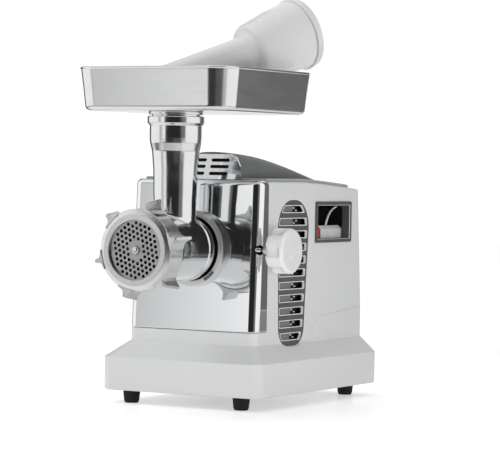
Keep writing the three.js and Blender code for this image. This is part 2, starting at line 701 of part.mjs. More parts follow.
function auger() {
  const { front: start, back: end, turns, core, frontTip, backTip } = AUGER;
  const stepsPerTurn = 12;
  const flight = polygon([0, 20, 40, 60, 75, 110, 150, 190, 230, 270, 310, 345].map((degrees) => {
    const radius = degrees > 60 ? core : 2 * core;
    const angle = THREE.MathUtils.degToRad(degrees);
    return [radius * Math.cos(angle), radius * Math.sin(angle)];
  }));
  const twist = (point) => {
    const along = (point.y - start) / (end - start);
    const radius = Math.hypot(point.x, point.z);
    const angle = Math.atan2(point.z, point.x) + along * turns * 2 * Math.PI;
    const tip = THREE.MathUtils.lerp(frontTip, backTip, along);
    const reach = radius > core + 1 ? tip : radius;
    point.x = reach * Math.cos(angle);
    point.z = reach * Math.sin(angle);
  };
  const steps = Math.round(turns * stepsPerTurn);
  const screw = solid(warp(extruded(flight, 'y', start, end, { steps }), twist).translate(0, 0, AXIS_Z));
  const tail = turned([[0, end - 1], [14, end - 1], [14, end + 2], [8.5, end + 2], [8.5, 17], [0, 17]],
    'y', onAxis, 14);
  const drive = box(-6.5, 6.5, 16.4, 30, AXIS_Z - 6.5, AXIS_Z + 6.5);
  const square = box(-4.9, 4.9, -110.2, start + 2, AXIS_Z - 4.9, AXIS_Z + 4.9);
  const pin = turned([[0, -119.4], [3, -119.4], [4, -118.4], [4, -108], [0, -108]], 'y', onAxis, 10);
  return join(screw, tail, drive, square, pin);
}

function augerBush() {
  return tube(10.6, 8.9, HEAD.innerBack + GAP, HEAD.back - 2, 'y', onAxis, 24);
}

// ---------------------------------------------------------------- tray and pusher

function trayLevels(inset, floor) {
  const { halfWidth, frontY, backY, radius, rimZ, bottomZ, draft } = TRAY;
  const level = (z, shrink) => ({
    z,
    x: halfWidth - inset - shrink,
    y0: frontY + inset + shrink,
    y1: backY - inset - shrink,
    front: radius - inset - shrink / 2,
    back: radius - inset - shrink / 2,
  });
  return [level(bottomZ + floor, draft + 5), level(bottomZ + 1.6 + floor, draft + 1.5),
    level(bottomZ + 5.5 + floor, draft),
    level(rimZ + (floor > 0 ? 5 : 0), 0)];
}

function tray() {
  const { wall, neck, neckBottom, spigot, spigotBottom, bottomZ } = TRAY;
  const at = [0, THROAT.y, 0];
  const collar = join(rod(neck, neckBottom, bottomZ + 1, 'z', at, 24),
    rod(spigot, spigotBottom, neckBottom + 1, 'z', at, 24));
  const inner = loft(trayLevels(wall, wall));
  const pan = cut(loft(trayLevels(0, 0)), inner);
  return cut(join(pan, cut(collar, inner)), rod(spigot - 2, 290, 340, 'z', at, 24));
}

function pusherFrame(geometry) {
  const { rimCentre, heading, tilt } = PUSHER;
  geometry.rotateX(THREE.MathUtils.degToRad(tilt));
  geometry.rotateZ(-THREE.MathUtils.degToRad(heading));
  return solid(geometry.translate(...rimCentre));
}

// The pusher is a closed stem with a cup at its upper end, turned about its own Y axis.
function pusher() {
  const { cup, shoulder, cupLength, stem, stemLength, wall } = PUSHER;
  const tip = -cupLength - stemLength;
  const profile = [[0, tip], [stem - 3.5, tip], [stem, tip + 3.5], [stem + 0.4, -cupLength],
    [shoulder, -cupLength], [cup - 1.6, 6 - cupLength], [cup, 16 - cupLength], [cup, -GAP],
    [cup - wall, -GAP], [cup - wall, 18 - cupLength], [shoulder - 3, wall + 2 - cupLength],
    [0, wall + 2 - cupLength]];
  const points = profile.map(([radius, along]) => new THREE.Vector2(radius, along));
  return pusherFrame(new THREE.LatheGeometry(points, 28));
}

function pusherCap() {
  const { cap, capThickness, cup, wall } = PUSHER;
  const grip = cup - wall - GAP;
  const profile = [[0, capThickness - 2], [cap - 7, capThickness - 2], [cap - 5, capThickness],
    [cap - 1, capThickness], [cap, capThickness - 1.2], [cap, 0], [grip, 0], [grip, -5], [grip - 2, -5],
    [grip - 2, capThickness - 4], [0, capThickness - 4]];
  const points = profile.map(([radius, along]) => new THREE.Vector2(radius, along));
  return pusherFrame(new THREE.LatheGeometry(points, 28));
}

// ---------------------------------------------------------------- lock knob

function lockKnob() {
  const { y, hub, back, face, radius, lobes, screw } = KNOB;
  const outline = [];
  for (let i = 0; i < lobes * 6; i += 1) {
    const angle = (2 * Math.PI * i) / (lobes * 6);
    const wave = Math.cos(angle * lobes);
    const reach = radius - 1.9 * Math.max(0, -wave) ** 0.8;
    outline.push([reach * Math.cos(angle), reach * Math.sin(angle)]);
  }
  const grip = solid(extruded(polygon(outline), 'x', back, face).translate(0, y, AXIS_Z));
  const at = [0, y, AXIS_Z];
  const rounding = turned([[0, back - 1], [radius - 2.5, back - 1], [radius + 1, back + 3],
    [radius + 1, face - 2.5], [radius - 1, face], [0, face]], 'x', at, 36);
  const neck = turned([[0, hub], [6.5, hub], [8, back - 2], [10, back + 1], [0, back + 1]], 'x', at, 14);
  return cut(join(grip.intersect(rounding), neck), rod(screw + GAP, hub - 5, face - 5, 'x', at, 10));
}

function lockScrew() {
  const { y, face, screw, screwTip } = KNOB;
  return turned([[0, screwTip], [screw - 1.5, screwTip], [screw, screwTip + 3], [screw, face - 6],
    [0, face - 6]], 'x', [0, y, AXIS_Z], 10);
}

// ---------------------------------------------------------------- gear train

// Spur gear with straight-flanked teeth. One tooth points at the angle given.
function gear(module, teeth, width, start, [x, z], toothAngle, bore) {
  const pitchRadius = (module * teeth) / 2;
  const tip = pitchRadius + 0.8 * module;
  const root = pitchRadius - 1.1 * module;
  const pitchAngle = (2 * Math.PI) / teeth;
  const outline = [];
  for (let i = 0; i < teeth; i += 1) {
    const middle = toothAngle + i * pitchAngle;
    for (const [radius, offset] of [[root, -0.3], [tip, -0.1], [tip, 0.1], [root, 0.3]]) {
      const angle = middle + offset * pitchAngle;
      outline.push([radius * Math.cos(angle), radius * Math.sin(angle)]);
    }
  }
  const shape = polygon(outline);
  if (bore > 0) shape.holes.push(new THREE.Path().absarc(0, 0, bore, 0, 2 * Math.PI));
  return solid(extruded(shape, 'y', start, start + width, { curveSegments: 8 }).translate(x, 0, z));
}

// Centre at the given distances from two points, on the +X side of the line between them.
function between([ax, az], fromA, [bx, bz], fromB) {
  const distance = Math.hypot(bx - ax, bz - az);
  const along = (fromA ** 2 - fromB ** 2 + distance ** 2) / (2 * distance);
  const aside = Math.sqrt(fromA ** 2 - along ** 2);
  const [ux, uz] = [(bx - ax) / distance, (bz - az) / distance];
  return [ax + ux * along - uz * aside, az + uz * along + ux * aside];
}

const centreDistance = (module) => (module * (GEARS.pinion + GEARS.wheel)) / 2;
const toSecond = centreDistance(GEARS.modules[1]);
const toMotor = centreDistance(GEARS.modules[0]);
const FIRST_AT = between(SECOND_AT, toSecond, MOTOR_AT, toMotor);
const heading = ([ax, az], [bx, bz]) => Math.atan2(bz - az, bx - ax);

// The three pinions have a tooth on the line of centres, and each wheel a gap there.
const gapAt = (from, to) => heading(from, to) + Math.PI / GEARS.wheel;

function motorShaft() {
  const [module] = GEARS.modules;
  const toFirst = heading(MOTOR_AT, FIRST_AT);
  const pinion = gear(module, GEARS.pinion, 9.5, LAYER.first, MOTOR_AT, toFirst, 0);
  const at = [MOTOR_AT[0], 0, MOTOR_AT[1]];
  return join(pinion, rod(MOTOR.shaft, LAYER.first - 3, MOTOR.shaftBack, 'y', at, 14));
}

function firstGear() {
  const [fine, middle] = GEARS.modules;
  const wheel = gear(fine, GEARS.wheel, 9, LAYER.first, FIRST_AT, gapAt(FIRST_AT, MOTOR_AT), 0);
  const at = [FIRST_AT[0], 0, FIRST_AT[1]];
  const onward = heading(FIRST_AT, SECOND_AT);
  const pinion = gear(middle, GEARS.pinion, 17, LAYER.second, FIRST_AT, onward, 0);
  return join(wheel, pinion, rod(4, LAYER.second - 6, LAYER.first + 15, 'y', at, 14));
}

function secondGear() {
  const [, middle, coarse] = GEARS.modules;
  const wheel = gear(middle, GEARS.wheel, 12, LAYER.second, SECOND_AT, gapAt(SECOND_AT, FIRST_AT), 0);
  const at = [SECOND_AT[0], 0, SECOND_AT[1]];
  const onward = heading(SECOND_AT, OUTPUT_AT);
  const pinion = gear(coarse, GEARS.pinion, 19, LAYER.output, SECOND_AT, onward, 0);
  return join(wheel, pinion, rod(5, LAYER.output - 7, LAYER.second + 22, 'y', at, 14));
}

function outputGear() {
  const bore = 12.6;
  const gap = gapAt(OUTPUT_AT, SECOND_AT);
  return gear(GEARS.modules[2], GEARS.wheel, 14, LAYER.output + 1, OUTPUT_AT, gap, bore);
}

function outputCoupling() {
  const profile = [[0, 20], [13.5, 20], [13.5, 40], [12, 40], [12, LAYER.output + 16], [7, LAYER.output + 16],
    [7, LAYER.output + 24], [0, LAYER.output + 24]];
  return cut(turned(profile, 'y', onAxis, 24), box(-7, 7, 15, 33, AXIS_Z - 7, AXIS_Z + 7));
}

// ---------------------------------------------------------------- gearbox

const shafts = [
  { at: SECOND_AT, radius: 5, bossFront: LAYER.second + 13.5, end: LAYER.second + 22 },
  { at: FIRST_AT, radius: 4, bossFront: LAYER.first + 10.5, end: LAYER.first + 15 },
];

function caseOutline(margin) {
  return roundedRect(-64 - margin, 50 + margin, 44 - margin, 214 + margin, 26 + margin);
}

const caseScrewAt = { low: [44, 60], high: [-58, 198] };

function gearboxPlate() {
  let plate = solid(extruded(caseOutline(CASE.wall), 'y', 29, CASE.front - GAP));
  plate = cut(join(plate, rod(20.5, 25, 29.5, 'y', onAxis, 24)), rod(17.5, 20, 40, 'y', onAxis, 24));
  const [x, z] = SECOND_AT;
  plate = join(plate, tube(10, 5.5, 33, 38, 'y', [x, 0, z], 10));
  for (const [screwX, screwZ] of Object.values(caseScrewAt)) {
    plate = cut(plate, rod(2.3, 20, 40, 'y', [screwX, 0, screwZ], 8));
  }
  return plate;
}

function gearboxCase() {
  const { front, inside, back, wall, post } = CASE;
  let body = solid(extruded(caseOutline(wall), 'y', front, back));
  body = cut(body, solid(extruded(caseOutline(0), 'y', front - 5, inside)));
  const within = solid(extruded(caseOutline(1), 'y', front, inside + 2));
  for (const [x, z] of Object.values(caseScrewAt)) {
    const column = rod(post, front, inside + 1, 'y', [x, 0, z], 10).intersect(within);
    body = join(body, cut(column, rod(1.9, front - 5, 60, 'y', [x, 0, z], 8)));
  }
  for (const { at: [x, z], radius, bossFront, end } of shafts) {
    body = join(body, rod(radius + 4, bossFront, inside + 1, 'y', [x, 0, z], 14));
    body = cut(body, rod(radius + 0.5, bossFront - 4, end + 0.5, 'y', [x, 0, z], 14));
  }
  body = join(body, rod(13, LAYER.output + 19, inside + 1, 'y', onAxis, 20));
  body = cut(body, rod(7.5, LAYER.output + 10, LAYER.output + 24.5, 'y', onAxis, 20));
  return cut(body, rod(11.4, 85, 100, 'y', [MOTOR_AT[0], 0, MOTOR_AT[1]], 20));
}

function gearboxScrew([x, z]) {
  const profile = [[0, 26], [3.4, 26], [4, 27], [4, 28.7], [1.6, 28.7], [1.6, 52], [0, 52]];
  return turned(profile, 'y', [x, 0, z], 8);
}

// ---------------------------------------------------------------- motor

const motorCentre = [MOTOR_AT[0], 0, MOTOR_AT[1]];

function bearing(outer, inner, front, back, at) {
  return tube(outer, inner, front, back, 'y', at, 20);
}

function coolingFan() {
  const { front, disc, back, hub, radius, blades } = FAN;
  let fan = rod(hub, front, back, 'y', motorCentre, 16);
  fan = join(fan, tube(radius, hub - 1, front, disc, 'y', motorCentre, 28));
  for (let i = 0; i < blades; i += 1) {
    const blade = new THREE.BoxGeometry(22, 8, 1.6).translate(19, back - 4, 0);
    blade.rotateY((2 * Math.PI * i) / blades).translate(...motorCentre);
    fan = join(fan, solid(blade));
  }
  return cut(fan, rod(MOTOR.bore, 90, 110, 'y', motorCentre, 14));
}

function rotorCore() {
  let core = rod(MOTOR.rotor, MOTOR.front + 4, MOTOR.back - 4, 'y', motorCentre, 28);
  const slots = 8;
  const along = (MOTOR.front + MOTOR.back) / 2;
  for (let i = 0; i < slots; i += 1) {
    const slot = new THREE.BoxGeometry(7, 60, 1.8).translate(MOTOR.rotor - 2, along, 0);
    slot.rotateY((2 * Math.PI * i) / slots).translate(...motorCentre);
    core = cut(core, solid(slot));
  }
  return cut(core, rod(MOTOR.bore, 90, 200, 'y', motorCentre, 14));
}

function commutator() {
  return tube(11, MOTOR.bore, 169, 185, 'y', motorCentre, 16);
}

function statorCore() {
  const [x, z] = MOTOR_AT;
  const { stator, front, back, rotor } = MOTOR;
  let core = rod(stator, front, back, 'y', motorCentre, 36);
  core = cut(core, rod(rotor + 0.8, front - 5, back + 5, 'y', motorCentre, 28));
  for (const side of sides) {
    const centre = x + side * COIL.x;
    core = cut(core, box(centre - 5, centre + 5, front - 5, back + 5, z - 24, z + 24));
  }
  return core;
}

function fieldCoil(side) {
  const [x, z] = MOTOR_AT;
  const { half, reach, bend, overhang } = COIL;
  const centre = x + side * COIL.x;
  const [near, far] = [centre - half, centre + half];
  const [front, back] = [MOTOR.front - overhang, MOTOR.back + overhang];
  return join(
    box(near, far, front, back, z + bend, z + reach),
    box(near, far, front, back, z - reach, z - bend),
    box(near, far, MOTOR.back + GAP, back, z - bend - 1, z + bend + 1),
    box(near, far, front, MOTOR.front - GAP, z - bend - 1, z + bend + 1),
  );
}

function rearBracket() {
  const [x, z] = MOTOR_AT;
  let bracket = box(x - 40, x + 40, 190, 194, z - 14, z + 14);
  bracket = join(bracket, tube(13, 9.3, 190, 202, 'y', motorCentre, 24));
  for (const side of sides) {
    const leg = x + side * 36.5;
    bracket = join(bracket, box(leg - 3.5, leg + 3.5, MOTOR.back + GAP, 191, z - 8, z + 8));
  }
  return cut(bracket, rod(9.3, 180, 210, 'y', motorCentre, 24));
}

function frontBracket() {
  const [x, z] = MOTOR_AT;
  let bracket = tube(40, 34, 95.3, 111.7, 'y', motorCentre, 36);
  for (const side of sides) {
    bracket = cut(bracket, box(x + side * 32 - 11, x + side * 32 + 11, 98, 120, z - 26, z + 26));
  }
  return bracket;
}

function brushHolder(side) {
  const [x, z] = MOTOR_AT;
  const { front, back, half, holderFrom, holderTo } = BRUSH;
  const ends = [x + side * holderFrom, x + side * holderTo];
  const body = box(Math.min(...ends), Math.max(...ends), front - 2.5, back + 2.5, z - 6, z + 6);
  const channel = half + GAP;
  return cut(body, box(x - 40, x + 40, front - GAP, back + GAP, z - channel, z + channel));
}

function carbonBrush(side) {
  const [x, z] = MOTOR_AT;
  const { front, back, half, from, to } = BRUSH;
  const ends = [x + side * from, x + side * to];
  return box(Math.min(...ends), Math.max(...ends), front, back, z - half, z + half);
}

// ---------------------------------------------------------------- assembly

add('main_housing', mainHousing(), WHITE);
add('base_plate', basePlate(), GREY);
for (const [corner, side, end] of corners) {
  add(`foot_${corner}`, rubberFoot(side, end), RUBBER);
  add(`base_screw_${corner}`, baseScrew(side, end), STEEL);
}
add('front_fascia', frontFascia(), CHROME);
add('head_socket', headSocket(), CHROME);
add('side_vent_right', ventGrille(1), DARK);
add('side_vent_left', ventGrille(-1), DARK);
add('top_plate', topPlate(), LIGHT_GREY);
add('dome_cover', domeCover(), GREY);
add('top_vent_grille', topVentGrille(), CHROME);
add('switch_bezel', switchBezel(), DARK);
add('switch_well', switchWell(), BLACK);
add('stop_key', key(0), RED);
add('reverse_key', key(1), PALE);
add('slow_key', key(2), PALE);
add('fast_key', key(3), PALE);
add('switch_block', switchBlock(), DARK);
add('cord_gland', cordGland(), RUBBER);

add('head_body', headBody(), ALUMINIUM);
add('ring_nut', ringNut(), ALUMINIUM);
add('grinding_plate', grindingPlate(), STEEL);
add('cutting_blade', cuttingBlade(), STEEL);
add('auger', auger(), ALUMINIUM);
add('auger_bush', augerBush(), NYLON);
add('tray', tray(), STEEL);
add('pusher', pusher(), PALE);
add('pusher_cap', pusherCap(), PALE);
add('lock_knob', lockKnob(), PALE);
add('lock_screw', lockScrew(), STEEL);

add('output_coupling', outputCoupling(), STEEL);
add('output_gear', outputGear(), NYLON);
add('output_bearing', bearing(17.2, 13.8, 25.3, 33, onAxis), BRASS);
add('second_gear', secondGear(), STEEL);
add('first_gear', firstGear(), STEEL);
add('gearbox_plate', gearboxPlate(), ALUMINIUM);
add('gearbox_case', gearboxCase(), ALUMINIUM);
add('gearbox_screw_low', gearboxScrew(caseScrewAt.low), STEEL);
add('gearbox_screw_high', gearboxScrew(caseScrewAt.high), STEEL);

add('motor_shaft', motorShaft(), STEEL);
add('rotor_core', rotorCore(), IRON);
add('commutator', commutator(), COPPER);
add('cooling_fan', coolingFan(), NYLON);
add('motor_bearing_front', bearing(11.1, MOTOR.bore, 88, 94.7, motorCentre), STEEL);
add('motor_bearing_rear', bearing(9, MOTOR.bore, 194, 202, motorCentre), STEEL);
add('stator_core', statorCore(), IRON);
add('motor_front_bracket', frontBracket(), ALUMINIUM);
add('motor_rear_bracket', rearBracket(), ALUMINIUM);
for (const [name, side] of [['left', -1], ['right', 1]]) {
  add(`field_coil_${name}`, fieldCoil(side), COPPER);
  add(`brush_holder_${name}`, brushHolder(side), BRASS);
  add(`carbon_brush_${name}`, carbonBrush(side), RUBBER);
}

// The origin is the middle of the footprint, on the table.
const bounds = new THREE.Box3().setFromObject(grinder, true);
const middle = bounds.getCenter(new THREE.Vector3());
grinder.position.set(-middle.x, -middle.y, -bounds.min.z);
grinder.updateMatrixWorld(true);

export default grinder;
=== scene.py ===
"""Looks of the electric meat grinder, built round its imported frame. Lengths are in millimetres
in the machine's own frame: x from the head's axis, y from the front panel going back, z from the table."""

import math

import bmesh
import bpy
from mathutils import Matrix, Vector
from mathutils.geometry import tessellate_polygon


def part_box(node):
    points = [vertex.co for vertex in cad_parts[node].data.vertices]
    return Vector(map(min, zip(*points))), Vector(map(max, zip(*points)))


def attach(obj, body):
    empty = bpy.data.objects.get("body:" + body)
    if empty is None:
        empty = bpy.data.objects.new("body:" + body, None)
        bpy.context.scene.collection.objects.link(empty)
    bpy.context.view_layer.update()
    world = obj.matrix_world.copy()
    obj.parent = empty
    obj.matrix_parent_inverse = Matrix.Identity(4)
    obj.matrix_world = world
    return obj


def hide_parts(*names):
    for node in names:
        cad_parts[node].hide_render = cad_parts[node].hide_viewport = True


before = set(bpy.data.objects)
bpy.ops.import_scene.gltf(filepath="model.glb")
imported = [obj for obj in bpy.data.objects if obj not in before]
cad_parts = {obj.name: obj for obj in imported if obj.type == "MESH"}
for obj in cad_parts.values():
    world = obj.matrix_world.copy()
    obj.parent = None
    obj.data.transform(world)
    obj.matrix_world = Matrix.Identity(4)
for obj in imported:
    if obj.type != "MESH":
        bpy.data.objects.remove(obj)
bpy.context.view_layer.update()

MM = 0.001
plate_low, plate_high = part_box("grinding_plate")
HEAD_X = (plate_low.x + plate_high.x) / 2
AXIS = (plate_low.z + plate_high.z) / 2 / MM  # height of the head's axis
SOCKET_FRONT = -9  # the socket ring stands this far in front of the panel
PANEL_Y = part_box("head_socket")[0].y - SOCKET_FRONT * MM


def at(x, y, z):
    return Vector((HEAD_X + x * MM, PANEL_Y + y * MM, z * MM))


def sizes(node):
    """The node's box in the machine's frame: x0, x1, y0, y1, z0, z1."""
    low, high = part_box(node)
    return [(low.x - HEAD_X) / MM, (high.x - HEAD_X) / MM, (low.y - PANEL_Y) / MM, (high.y - PANEL_Y) / MM,
            low.z / MM, high.z / MM]


# ---------------------------------------------------------------- outlines

def rounded(points, closed=True, step=12):
    """A polygon whose corners (u, v, radius) are turned into arcs, a point every step degrees."""
    result = []
    count = len(points)
    for i, corner in enumerate(points):
        here = Vector(corner[:2])
        radius = corner[2] if len(corner) > 2 else 0
        if radius <= 0 or (not closed and i in (0, count - 1)):
            result.append(tuple(here))
            continue
        before = Vector(points[i - 1][:2]) - here
        after = Vector(points[(i + 1) % count][:2]) - here
        half = before.angle(after) / 2
        if half > math.radians(88):
            result.append(tuple(here))
            continue
        reach = min(radius / math.tan(half), 0.49 * before.length, 0.49 * after.length)
        radius = reach * math.tan(half)
        middle = here + (before.normalized() + after.normalized()).normalized() * radius / math.sin(half)
        start = here + before.normalized() * reach - middle
        end = here + after.normalized() * reach - middle
        turn = start.angle_signed(end)
        steps = max(2, round(abs(math.degrees(turn)) / step))
        for k in range(steps + 1):
            angle = -turn * k / steps
            result.append((middle.x + start.x * math.cos(angle) - start.y * math.sin(angle),
                           middle.y + start.x * math.sin(angle) + start.y * math.cos(angle)))
    return result


def rounded_box(u0, u1, v0, v1, low, high=None, step=9):
    high = low if high is None else high
    return rounded([(u0, v0, low), (u1, v0, low), (u1, v1, high), (u0, v1, high)], step=step)


def circle(u, v, radius, count):
    return [(u + radius * math.cos(2 * math.pi * i / count), v + radius * math.sin(2 * math.pi * i / count))
            for i in range(count)]


def quarter(steps=8):
    """(sine, cosine) at each step of a quarter turn."""
    angles = [math.pi / 2 * k / steps for k in range(steps + 1)]
    return [(math.sin(angle), math.cos(angle)) for angle in angles]


# Places a flat outline's (u, v) and a height w in the machine's frame.
def along_x(u, v, w):
    return (w, u, v)


def along_y(u, v, w):
    return (u, w, v)


def along_z(u, v, w):
    return (u, v, w)


def round_y(x, z):
    return lambda u, v, w: (x + u, w, z + v)


def round_z(x, y):
    return lambda u, v, w: (x + u, y + v, w)


def round_x(y, z):
    return lambda u, v, w: (w, y + u, z + v)


# ---------------------------------------------------------------- meshes

def skin(rings, joined=False, caps=True):
    """Faces between equal rings of points. joined closes the last ring on the first."""
    count = len(rings[0])
    points = [p for ring in rings for p in ring]
    faces = []
    spans = len(rings) if joined else len(rings) - 1
    for r in range(spans):
        a, b = r * count, (r + 1) % len(rings) * count
        faces += [(a + i, a + (i + 1) % count, b + (i + 1) % count, b + i) for i in range(count)]
    if caps and not joined:
        faces.append(tuple(range(count))[::-1])
        faces.append(tuple(range(len(points) - count, len(points))))
    return points, faces


def turned(profile, place, segments=96):
    """Surface of revolution of (radius, along) points. It starts and ends on the axis or closes on itself."""
    rings = [[place(u, v, along) for u, v in circle(0, 0, radius, segments)] for radius, along in profile]
    return skin(rings, joined=profile[0][0] > 0, caps=False)


def slab(outline, holes, place, w0, w1):
    """A flat outline with holes, made thick from w0 to w1."""
    loops = [outline, *holes]
    flat = [p for loop in loops for p in loop]
    caps = tessellate_polygon([[Vector((u, v, 0)) for u, v in loop] for loop in loops])
    total = len(flat)
    points = [place(u, v, w0) for u, v in flat] + [place(u, v, w1) for u, v in flat]
    faces = [tuple(t) for t in caps] + [tuple(i + total for i in t)[::-1] for t in caps]
    first = 0
    for loop in loops:
        n = len(loop)
        faces += [(first + i, first + (i + 1) % n, first + total + (i + 1) % n, first + total + i)
                  for i in range(n)]
        first += n
    return points, faces


def placed(name, data):
    """New object in the scene."""
    obj = bpy.data.objects.new(name, data)
    bpy.context.scene.collection.objects.link(obj)
    return obj


def mesh_of(name, parts):
    """One object from (points, faces) parts, in metres, faces out."""
    mesh = bpy.data.meshes.new(name)
    obj = placed(name, mesh)
    work = bmesh.new()
    for points, faces in parts:
        verts = [work.verts.new(at(*p)) for p in points]
        for face in faces:
            if len({verts[i].co.to_tuple(7) for i in face}) > 2:
                try:
                    work.faces.new([verts[i] for i in face])
                except ValueError:
                    pass
        loose = [v for v in verts if not v.link_faces]
        bmesh.ops.delete(work, geom=loose, context="VERTS")
        live = [v for v in verts if v.is_valid]
        bmesh.ops.remove_doubles(work, verts=live, dist=1e-7)
    bmesh.ops.dissolve_degenerate(work, dist=1e-7, edges=work.edges[:])
    bmesh.ops.recalc_face_normals(work, faces=work.faces[:])
    work.to_mesh(mesh)
    work.free()
    return obj


def settle(obj):
    """Turns the object's modifiers into its mesh."""
    view = bpy.context.evaluated_depsgraph_get()
    view.update()
    finished = bpy.data.meshes.new_from_object(obj.evaluated_get(view))
    obj.modifiers.clear()
    old = obj.data
    obj.data = finished
    bpy.data.meshes.remove(old)
    return obj


def combine(obj, parts, operation="DIFFERENCE"):
    """Cuts each (points, faces) part from the object, or joins it on with UNION."""
    for index, part in enumerate(parts):
        tool = mesh_of(f"tool_{index}", [part])
        step = obj.modifiers.new("combine", "BOOLEAN")
        step.object = tool
        step.operation = operation
        step.solver = "MANIFOLD"
        settle(obj)
        bpy.data.objects.remove(tool)
    return obj


def soften(obj, width, segments=3, angle=35):
    """Rounds the object's sharp edges."""
    step = obj.modifiers.new("soften", "BEVEL")
    step.width = width * MM
    step.segments = segments
    step.limit_method = "ANGLE"
    step.angle_limit = math.radians(angle)
    return settle(obj)


def finish(obj, body, nodes, materials, sharp=32, pick=None):
    """Gives the piece its body, replaced nodes and materials. pick chooses a material per face."""
    obj.data.materials.clear()
    for one in materials:
        obj.data.materials.append(one)
    for face in obj.data.polygons:
        face.use_smooth = True
        face.material_index = pick(face) if pick else 0
    obj.data.set_sharp_from_angle(angle=math.radians(sharp))
    flat = obj.modifiers.new("flat", "WEIGHTED_NORMAL")
    flat.keep_sharp = True
    settle(obj)
    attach(obj, body)
    if nodes:
        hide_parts(*nodes)
    return obj


# ---------------------------------------------------------------- materials

def fresh_material(name):
    """New material with its nodes, links and default shader."""
    mat = bpy.data.materials.new(name)
    mat.use_nodes = True
    nodes, links = mat.node_tree.nodes, mat.node_tree.links
    return mat, nodes, links, nodes["Principled BSDF"]


def preset(node, values):
    """Gives the node's sockets their constant values."""
    for socket_name, value in values.items():
        node.inputs[socket_name].default_value = value


def material(name, color, roughness, metallic=0.0, coat=0.0, tone=None, smudge=None, grain=None, fine=None,
             stretch=(1, 1, 1), specular=0.5, through=0.0):
    """tone: (scale, share darker), smudge: (scale, extra roughness), grain, fine: (scale, bump strength)."""
    mat, nodes, links, shader = fresh_material(name)
    preset(shader, {
        "Base Color": (*color, 1), "Roughness": roughness, "Metallic": metallic, "Coat Weight": coat,
        "Coat Roughness": 0.06, "Specular IOR Level": specular, "Subsurface Weight": through,
        "Subsurface Radius": (1, 1, 1), "Subsurface Scale": 0.004,
    })
    where = nodes.new("ShaderNodeTexCoord")
    turn = nodes.new("ShaderNodeMapping")
    turn.inputs["Scale"].default_value = stretch
    links.new(where.outputs["Object"], turn.inputs["Vector"])

    def noise(scale, detail=3.0):
        node = nodes.new("ShaderNodeTexNoise")
        preset(node, {"Scale": scale, "Detail": detail})
        links.new(turn.outputs["Vector"], node.inputs["Vector"])
        return node.outputs["Fac"]

    def spread(source, low, high):
        node = nodes.new("ShaderNodeMapRange")
        preset(node, {"From Min": 0.3, "From Max": 0.7, "To Min": low, "To Max": high})
        links.new(source, node.inputs["Value"])
        return node.outputs["Result"]

    if tone:
        scale, share = tone
        mix = nodes.new("ShaderNodeMix")
        mix.data_type = "RGBA"
        mix.inputs[6].default_value = (*color, 1)
        mix.inputs[7].default_value = (*[c * (1 - share) for c in color], 1)
        links.new(spread(noise(scale), 0, 1), mix.inputs[0])
        links.new(mix.outputs[2], shader.inputs["Base Color"])
    if smudge:
        scale, extra = smudge
        links.new(spread(noise(scale, 5), roughness, roughness + extra), shader.inputs["Roughness"])
    height = None
    for layer in (grain, fine):
        if not layer:
            continue
        bump = nodes.new("ShaderNodeBump")
        preset(bump, {"Strength": layer[1], "Distance": 0.0004})
        links.new(noise(layer[0], 2), bump.inputs["Height"])
        if height:
            links.new(height, bump.inputs["Normal"])
        height = bump.outputs["Normal"]
    if height:
        links.new(height, shader.inputs["Normal"])
    return mat


white = material("white_plastic", (0.80, 0.805, 0.81), 0.3, coat=0.25, tone=(9, 0.015), smudge=(40, 0.06),
                 grain=(1900, 0.02))
pale = material("pale_plastic", (0.9, 0.905, 0.9), 0.24, coat=0.3, tone=(14, 0.01), smudge=(60, 0.04),
                grain=(1500, 0.008))
knob_white = material("knob_plastic", (0.84, 0.845, 0.84), 0.2, coat=0.3, tone=(30, 0.02), smudge=(80, 0.1),
                      grain=(1300, 0.02), through=0.12)
light_grey = material("light_grey_plastic", (0.42, 0.43, 0.44), 0.42, tone=(20, 0.05), smudge=(60, 0.1),
                      grain=(2400, 0.08))
grey = material("grey_plastic", (0.2, 0.205, 0.21), 0.5, tone=(18, 0.08), smudge=(50, 0.12),
                grain=(2200, 0.12))
dark = material("dark_plastic", (0.085, 0.088, 0.092), 0.46, tone=(24, 0.1), smudge=(70, 0.12),
                grain=(2200, 0.14))
# Near black: painted shade in the vent backing, the socket's bore and behind the top grille, and the print of
# the socket marks.
shade_and_print_black = material("painted_shade_and_print", (0.006, 0.006, 0.007), 0.6, tone=(30, 0.2), grain=(900, 0.1))
gloss = material("black_gloss", (0.01, 0.01, 0.011), 0.05, coat=0.6, smudge=(30, 0.08), fine=(400, 0.01))
red = material("red_plastic", (0.62, 0.022, 0.01), 0.25, coat=0.35, tone=(40, 0.1), grain=(1600, 0.03))
rubber = material("rubber", (0.016, 0.016, 0.017), 0.7, tone=(60, 0.2), grain=(1800, 0.25), specular=0.3)
chrome = material("chrome", (0.86, 0.87, 0.88), 0.025, 1.0, tone=(6, 0.015), smudge=(12, 0.03),
                  fine=(35, 0.006))
polished = material("polished_aluminium", (0.8, 0.805, 0.81), 0.09, 1.0, tone=(30, 0.04), smudge=(90, 0.09),
                    grain=(260, 0.03), fine=(1500, 0.03))
satin = material("satin_aluminium", (0.80, 0.805, 0.81), 0.27, 1.0, tone=(80, 0.06), smudge=(150, 0.12),
                 grain=(1400, 0.16), fine=(4200, 0.12))
